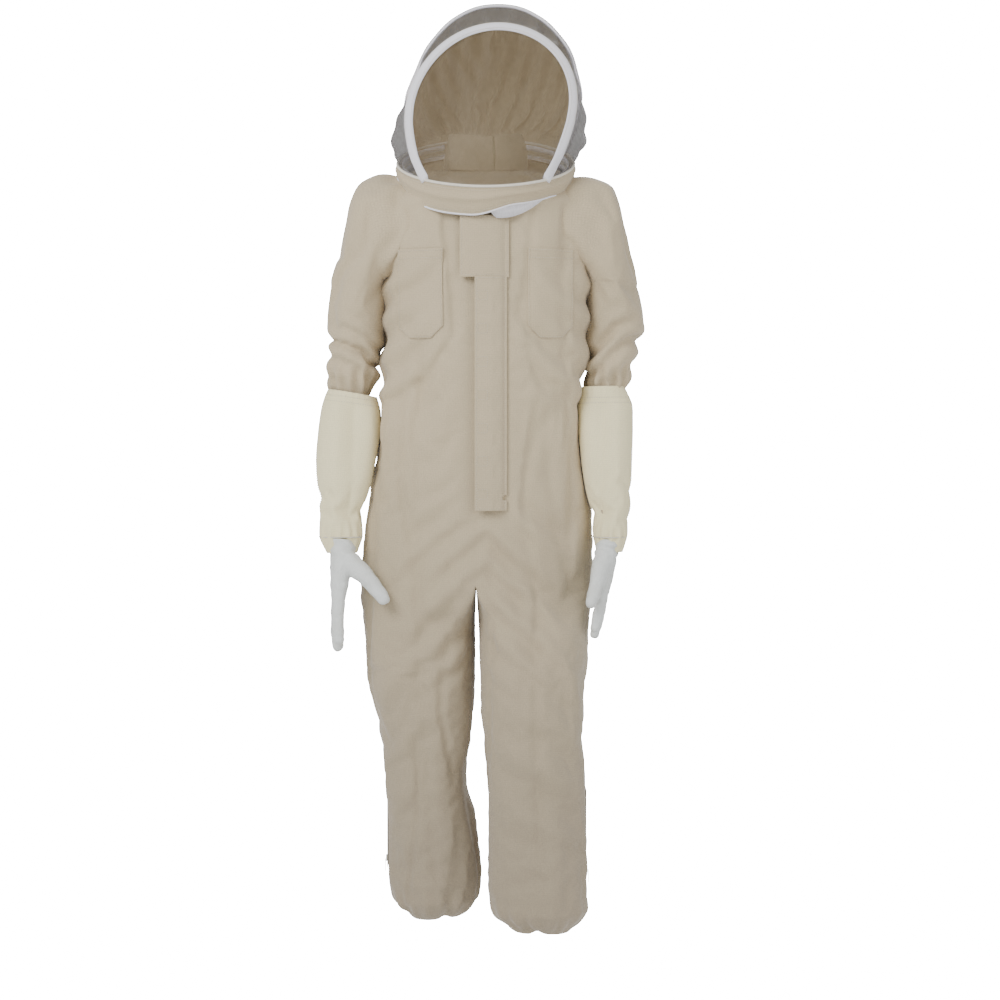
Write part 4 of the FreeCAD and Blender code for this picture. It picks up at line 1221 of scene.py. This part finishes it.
def build_back(rear):
    """The cloth back of the hood, domed like the back of a head and gathered down its length."""
    s = np.linspace(0, 1, ARCH)
    foot = skirt_edge(-REAR_FOOT - s * (2 * math.pi - 2 * REAR_FOOT))
    swell = np.sin(math.pi * s)[:, None] ** 0.7
    lean = np.sin(2 * math.pi * s)
    control = (rear + foot) / 2 + swell * (0, 0.140, 0.085)
    control[:, 0] -= 0.060 * lean
    rows = []
    for t in np.linspace(0, 1, 44):
        row = rear * (1 - t) ** 2 + control * 2 * t * (1 - t) + foot * t * t
        gather = 0.006 * np.sin(s * 2 * math.pi * 15 + 2.5 * np.sin(s * 9 + t * 2)) * ramp(t, 0, 0.2)
        row[:, 1] += gather * ramp(t, 1.0, 0.9) * swell[:, 0]
        rows.append(row)
    return sheet("veil_back", rows, s * 0.62, khaki, 0.035)


def build_hood():
    front, rear = hoops()
    for piece, slot, node in ((build_window(front), "veil_mesh", "veil_window_mesh"),
                              (build_crown(front, rear), "veil_mesh", "veil_crown_mesh"),
                              (build_back(rear), "khaki_cloth", "hood_back_panel")):
        attach(piece, "hood", (node,))
    for word, path, facing in (("front", front, (0, -0.85, 0.5)), ("rear", rear, (0, -0.30, 0.95))):
        outward = path - (path[:, 0].mean(), path[0, 1], 1.60)
        outward[:, 1] = 0
        outward /= np.linalg.norm(outward, axis=1)[:, None]
        flat_way = outward * facing[2] + (0, facing[1], 0)
        flat_way /= np.linalg.norm(flat_way, axis=1)[:, None]
        band = tube(f"{word}_hoop_tape", path, 0.0094, 16, flat=0.42, up=flat_way)
        paint(band, binding)
        attach(band, "hood", (f"{word}_hoop_binding", f"{word}_hoop_cane"))
        ahead = np.gradient(path, axis=0)
        sideways = np.cross(ahead / np.linalg.norm(ahead, axis=1)[:, None], flat_way)
        rows = [stitches(f"{word}_hoop_stitch_{k}", path + flat_way * 0.0032 + sideways * shift, flat_way)
                for k, shift in enumerate((-0.0066, 0.0066))]
        sewn = join(f"{word}_hoop_stitching", rows)
        attach(sewn, "hood")
    build_skirt()


def hem_height(angle):
    """Where the skirt's lower edge hangs: deepest at the front, and lifted on the wearer's left front."""
    front = ramp(math.cos(angle), 0.15, 0.90)
    lifted = ramp(angle, -0.15, 0.35) * ramp(angle, 1.15, 0.75)
    return -0.008 - 0.030 * front + 0.018 * lifted * front


def tape_height(angle):
    """Where the lower edge of the body's zip tape shows below the skirt."""
    return -0.015 - 0.031 * ramp(angle, -0.06, 0.14) * ramp(angle, 1.05, 0.20)


def build_skirt():
    """The cloth band round the foot of the hood, hanging over the zip, with piping along its edges."""
    columns, count = 240, 16
    angles = np.linspace(-math.pi, math.pi, columns, endpoint=False)
    rows, uv = [], []
    for share in np.linspace(0, 1, count):
        for a in angles:
            hem = hem_height(a)
            height = SKIRT_TOP + (hem - SKIRT_TOP) * share
            wave = noise.noise(Vector((math.sin(a) * 2.4, math.cos(a) * 2.4, share * 1.2)))
            fold = math.exp(-((share - 0.42) / 0.10) ** 2) * ramp(math.cos(a), -0.2, 0.5)
            radius = SKIRT_RADIUS + 0.0012 + 0.0016 * wave + 0.0030 * fold + 0.0030 * share * (1 - share) * 4
            radius += 0.0012 * ramp(height, -0.012, -0.036)
            rows.append(tuple(ring_point(a, radius, height + 0.0014 * wave)))
            uv.append((a * SKIRT_RADIUS, height))
    skirt = new_object("hood_skirt_cloth", rows, grid_faces(count, columns), uv)
    modify(skirt, "SOLIDIFY", thickness=0.0014, offset=0.0)
    modify(skirt, "SUBSURF", levels=1, render_levels=1)
    apply_modifiers(skirt)
    paint(skirt, khaki)
    attach(skirt, "hood", ("hood_skirt",))
    grid = np.array(rows).reshape(count, columns, 3)
    axis = np.array(RING) + (ring_height(grid)[..., None] * np.array(RING_NORMAL))
    away = grid - axis
    away /= np.linalg.norm(away, axis=2)[..., None]
    trims, sewn = [], []
    for row, radius, mat in ((0, 0.0027, cream_tape), (count - 1, 0.0019, binding)):
        path = grid[row] + away[row] * 0.0008
        trims.append(paint(tube(f"piping_{row}", path, radius, 8, closed=True, up=RING_NORMAL), mat))
        line = grid[2 if row == 0 else count - 3] + away[row] * 0.0009
        sewn.append(stitches(f"piping_stitch_{row}", line, away[row]))
    piping = join("hood_skirt_piping_cord", trims)
    attach(piping, "hood", ("hood_skirt_piping",))
    stitching = join("hood_skirt_stitching", sewn)
    attach(stitching, "hood")


def teeth_row(name, places, size):
    """Zip teeth: a small bevelled block at each place, a matrix. size is half lengths along its axes."""
    block = bmesh.new()
    bmesh.ops.create_cube(block, size=2.0, matrix=Matrix.Diagonal((*size, 1)))
    bmesh.ops.bevel(block, geom=block.edges[:], offset=min(size) * 0.35, segments=1, affect="EDGES")
    base = np.array([tuple(v.co) for v in block.verts])
    cells = [tuple(v.index for v in f.verts) for f in block.faces]
    block.free()
    points, faces = [], []
    for k, place in enumerate(places):
        m = np.array(place)
        points.append(base @ m[:3, :3].T + m[:3, 3])
        faces += [tuple(k * len(base) + v for v in cell) for cell in cells]
    return paint(new_object(name, np.vstack(points), faces, smooth=False), zip_plastic)


def frame_matrix(place, x_way, y_way, z_way):
    m = Matrix.Identity(4)
    for column, way in enumerate((x_way, y_way, z_way)):
        for row in range(3):
            m[row][column] = way[row]
    m.translation = Vector(place)
    return m


ZIP_REACH = math.acos(-0.138 / 0.160)
TOOTH_PITCH = 0.0030


def build_round_zip():
    for half, sign in (("lower", -1), ("upper", 1)):
        heights = [sign * 0.0043, sign * 0.009, sign * 0.0150]
        tape = ring_band(f"neck_zip_{half}_cloth", [RING_RADIUS] * 3, heights, binding, ZIP_REACH, 150,
                         thickness=0.0010)
        if sign < 0:
            points = points_of(tape)
            local = points - np.array(RING)
            angle = np.arctan2(local[:, 0], local @ np.array(RING_FORWARD))
            deep = np.clip((-ring_height(points) - 0.0043) / 0.0107, 0, 1)
            drop = np.array([-0.015 - tape_height(a) for a in angle]) * deep
            out = np.column_stack([np.sin(angle)] + [np.cos(angle) * RING_FORWARD[k] for k in (1, 2)])
            points += out * (0.0075 * drop / 0.031)[:, None] - drop[:, None] * np.array(RING_NORMAL)
            # the dropped part lies on the chest
            outer = np.hypot(local[:, 0], local @ np.array(RING_FORWARD)) > RING_RADIUS
            laid = lay_on(torso_tree, points, FRONT, 0.0024)[:, 1] - 0.0010 * outer
            points[:, 1] = np.where(drop > 0.0005, np.minimum(points[:, 1], laid), points[:, 1])
            set_points(tape, points)
        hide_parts(f"neck_zip_{half}_tape")
        places = []
        step = TOOTH_PITCH / RING_RADIUS
        for k, a in enumerate(np.arange(-ZIP_REACH, ZIP_REACH, step)):
            a += step / 2 * (sign > 0)
            out = (ring_point(a, 1, 0) - ring_point(a, 0, 0)).normalized()
            along = RING_NORMAL.cross(out)
            places.append(frame_matrix(ring_point(a, RING_RADIUS, sign * 0.0026), along, out, RING_NORMAL))
        teeth = teeth_row(f"neck_zip_{half}_tooth_row", places, (0.00095, 0.0012, 0.0021))
        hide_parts(f"neck_zip_{half}_teeth")
        for piece in (tape, teeth):
            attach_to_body(piece, "hood" if sign > 0 else "coverall")


def build_neck():
    """The cloth between the round zip and the neck, and the stand collar that rises from it."""
    count, rows = 120, 16
    angle = np.linspace(-math.pi / 2, 1.5 * math.pi, count, endpoint=False)
    points, uv = [], []
    for share in np.linspace(0, 1, rows):
        w, d = 0.1525 + (0.080 - 0.1525) * share, 0.1525 + (0.073 - 0.1525) * share
        middle, z = -0.012 + 0.012 * share, 1.438 + 0.018 * share
        pitch = math.radians(24 - 13 * share)
        x, y = superellipse(angle, 2.0 + 0.3 * share)
        ripple = 0.004 * np.sin(angle * 9 + 2 * share) * math.sin(share * math.pi)
        height = z + d * y * math.sin(pitch) + ripple - 0.006 * math.sin(share * math.pi)
        points.append(np.column_stack([w * x, middle + d * y * math.cos(pitch), height]))
        uv.append(np.column_stack([angle * 0.12, np.full(count, share * 0.07)]))
    yoke = new_object("neck_yoke_cloth", np.vstack(points), grid_faces(rows, count), np.vstack(uv))
    modify(yoke, "SUBSURF", levels=1, render_levels=1)
    apply_modifiers(yoke)
    paint(yoke, khaki)
    attach(yoke, "coverall", ("neck_yoke",))
    # the collar's ends pass each other at the front, one just outside the other
    angle = np.linspace(-math.pi / 2 - 0.16, 1.5 * math.pi + 0.16, count)
    points, uv = [], []
    for share in np.linspace(0, 1, 12):
        grow = 0.0035 * (angle - angle[0]) / (angle[-1] - angle[0])
        x, y = superellipse(angle, 2.3)
        w, d = 0.079 - 0.011 * share + grow, 0.072 - 0.008 * share + grow
        bulge = 0.003 * math.sin(share * math.pi) + 0.0022 * np.sin(angle * 5 + share * 3)
        pitch = math.radians(11 - 5 * share)
        dip = 0.006 * np.exp(-((np.abs(angle - math.pi / 2) - math.pi) / 0.35) ** 2) * share
        points.append(np.column_stack([(w + bulge) * x, 0.002 * share + (d + bulge) * y,
                                       1.455 + 0.067 * share + y * d * math.sin(pitch) - dip]))
        uv.append(np.column_stack([angle * 0.085, np.full(count, share * 0.067)]))
    collar = new_object("stand_collar_cloth", np.vstack(points), grid_faces(12, count, closed=False),
                        np.vstack(uv))
    modify(collar, "SOLIDIFY", thickness=0.0022, offset=0.0)
    modify(collar, "SUBSURF", levels=1, render_levels=1)
    apply_modifiers(collar)
    paint(collar, khaki)
    attach(collar, "coverall", ("stand_collar",))


build_neck()
build_hood()
build_round_zip()


# ------------------------------------------------------------------ front of the coverall

def build_pockets():
    for word, side in SIDES.items():
        inner, outer, top, bottom, clip = side * 0.080, side * 0.165, 1.290, 1.122, 0.022
        grid = []
        for v in np.linspace(0, 1, 24):
            z = top + (bottom - top) * v
            tuck = clip * max(0.0, (bottom + clip - z) / clip)
            a, b = inner + side * tuck, outer - side * tuck
            grid.append([(a + (b - a) * u, -0.16, z) for u in np.linspace(0, 1, 14)])
        pocket = patch(f"chest_pocket_cloth_{word}", grid, torso_tree, FRONT, 0.0016)
        paint(pocket, khaki)
        attach(pocket, "coverall", (f"chest_pocket_{word}",))
        inset = 0.003
        half_edge = ((inset, top), (inset, bottom + clip), (clip, bottom + inset))
        edge = [(inner + side * along, z) for along, z in half_edge]
        edge += [(outer - side * along, z) for along, z in half_edge[::-1]]
        rows = [resample([(x, -0.16, z) for x, z in edge], 90, closed=False)]
        for drop in (0.004, 0.018):
            rows.append(resample([(inner, -0.16, top - drop), (outer, -0.16, top - drop)], 30, closed=False))
        sewn = [stitches(f"pocket_stitch_{word}_{k}", lay_on(torso_tree, row, FRONT, 0.0034), (0, -1, 0))
                for k, row in enumerate(rows)]
        stitching = join(f"chest_pocket_stitching_{word}", sewn)
        attach(stitching, "coverall")


def build_front_flap(name, body, left, right, low, high, node, puckers, rise):
    """A flap over the front zip: its free edge at left, its sewn edge at right. It stands off by rise."""
    rows, columns = max(10, int((high - low) / 0.006)), 12
    flat = np.array([(left + (right - left) * u, -0.2, low + (high - low) * v)
                     for v in np.linspace(0, 1, rows) for u in np.linspace(0, 1, columns)])
    laid = lay_on(torso_tree, flat, FRONT, 0.0)
    base = laid[:, 1].reshape(rows, columns)
    smooth = base.copy()
    for _ in range(12):
        smooth[1:-1] = (smooth[:-2] + 2 * smooth[1:-1] + smooth[2:]) / 4
        smooth[:, 1:-1] = (smooth[:, :-2] + 2 * smooth[:, 1:-1] + smooth[:, 2:]) / 4
    front = np.minimum(smooth, base)
    across = np.tile(np.linspace(0, 1, columns), rows).reshape(rows, columns)
    height = np.repeat(np.linspace(low, high, rows), columns).reshape(rows, columns)
    shape = np.sin(np.clip(across * 0.98 + 0.14, 0, 1) * math.pi) ** 0.35
    wave = 0.0016 * np.sin(height * 2 * math.pi / 0.062 + 1.3) * puckers * ramp(across, 1.0, 0.55)
    flat[:, 1] = (front - 0.0030 - rise * shape + wave).ravel()
    if node == "storm_placket":
        # the flap covers the hook tape that is sewn behind its free edge
        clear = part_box("placket_hook_tape")[0][1] - 0.0030 + 0.03 * ramp(across, 0.55, 0.95).ravel()
        flat[:, 1] = np.minimum(flat[:, 1], clear)
    flat[:, 2] = height.ravel()
    obj = new_object(name, flat, grid_faces(rows, columns, closed=False), flat[:, [0, 2]])
    modify(obj, "SOLIDIFY", thickness=0.0020, offset=1.0)
    modify(obj, "BEVEL", width=0.0007, segments=2)
    modify(obj, "SUBSURF", levels=1, render_levels=1)
    apply_modifiers(obj)
    paint(obj, khaki)
    attach(obj, body, (node,))
    tree = surface_of(obj)
    inset = 0.0035
    box = [(left + inset, high - inset), (left + inset, low + inset), (right - inset, low + inset),
           (right - inset, high - inset)]
    around = [(x, -0.2, z) for x, z in box + box[:1]]
    rows_of = [resample(around, int((high - low) / 0.004) * 2, closed=False)]
    for z in np.arange(low + 0.031, high - 0.01, 0.062) if puckers else ():
        square = [(left + 0.006, z - 0.009), (left + 0.024, z - 0.009), (left + 0.024, z + 0.009),
                  (left + 0.006, z + 0.009), (left + 0.006, z - 0.009)]
        rows_of.append(resample([(x, -0.2, h) for x, h in square], 24, closed=False))
    sewn = [stitches(f"{name}_stitch_{k}", lay_on(tree, row, FRONT, 0.0003), (0, -1, 0))
            for k, row in enumerate(rows_of)]
    stitching = join(f"{name}_stitching", sewn)
    attach(stitching, body)


def build_front():
    build_front_flap("storm_placket_cloth", "placket", -0.0205, 0.040, 0.797, 1.236, "storm_placket",
                     puckers=1.0, rise=0.0098)
    build_front_flap("throat_flap_cloth", "throat", -0.048, 0.044, 1.234, 1.349, "throat_flap",
                     puckers=0.0, rise=0.0095)
    for word, side in SIDES.items():
        places = []
        for k in range(int(0.486 / TOOTH_PITCH)):
            z = 0.850 + (k + 0.5 * (side > 0)) * TOOTH_PITCH
            places.append(frame_matrix((side * 0.0026, -0.13205, z), (0, 0, 1), (0, -1, 0), (1, 0, 0)))
        row = teeth_row(f"front_zip_tooth_row_{word}", places, (0.00095, 0.0012, 0.0021))
        if side > 0:
            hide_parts("front_zip_teeth")
        attach(row, "coverall")


build_pockets()
build_front()


# ------------------------------------------------------------------ studio

def studio():
    # the suit hangs at the height of a figure's ankles above the floor
    reach, level = 8, -0.105
    corners = [(-reach, -reach, level), (reach, -reach, level), (reach, reach, level), (-reach, reach, level)]
    floor = new_object("floor", corners, [(0, 1, 2, 3)])
    mat, shader, add, link = material("pale_floor", (0.93, 0.93, 0.92), 0.9)
    seen = add("ShaderNodeLightPath").outputs["Is Camera Ray"]
    shader.inputs["Emission Color"].default_value = (1, 1, 1, 1)
    link(add("ShaderNodeMath", {0: seen, 1: 22.0}, operation="MULTIPLY").outputs[0],
         shader.inputs["Emission Strength"])
    paint(floor, mat)
    world = bpy.data.worlds.new("studio")
    bpy.context.scene.world = world
    world.use_nodes = True
    nodes, wire = world.node_tree.nodes, world.node_tree.links.new
    background = nodes["Background"]
    background.inputs[0].default_value = (1, 1, 1, 1)
    # the backdrop is white to the camera, but no brighter than the room where a net is in front of it
    path = nodes.new("ShaderNodeLightPath")
    through = nodes.new("ShaderNodeMapRange")
    through.inputs["To Min"].default_value, through.inputs["To Max"].default_value = 25.0, 0.9
    wire(path.outputs["Transparent Depth"], through.inputs["Value"])
    strength = nodes.new("ShaderNodeMapRange")
    strength.inputs["To Min"].default_value = 0.62
    wire(through.outputs[0], strength.inputs["To Max"])
    wire(path.outputs["Is Camera Ray"], strength.inputs["Value"])
    wire(strength.outputs[0], background.inputs[1])
    lamps = (("key", (-1.9, -2.4, 2.8), 1.8, 102), ("fill", (2.6, -2.2, 1.6), 2.0, 36),
             ("rim", (0.5, 2.8, 2.6), 1.8, 40))
    for name, place, size, power in lamps:
        lamp = bpy.data.lights.new(name, "AREA")
        lamp.size, lamp.energy = size, power
        obj = bpy.data.objects.new(name, lamp)
        obj.location = place
        obj.rotation_euler = (Vector((0, 0, 1.0)) - Vector(place)).to_track_quat("-Z", "Y").to_euler()
        bpy.context.scene.collection.objects.link(obj)
    lens = bpy.data.cameras.new("camera")
    lens.lens, lens.sensor_width = 64.6, 36
    lens.shift_x, lens.shift_y = 0.027, 0.006
    camera = bpy.data.objects.new("camera", lens)
    camera.location = (0, -3.5, 0.90)
    camera.rotation_euler = (math.radians(90 - 1.6), 0, math.radians(0.4))
    bpy.context.scene.collection.objects.link(camera)
    bpy.context.scene.camera = camera


studio()
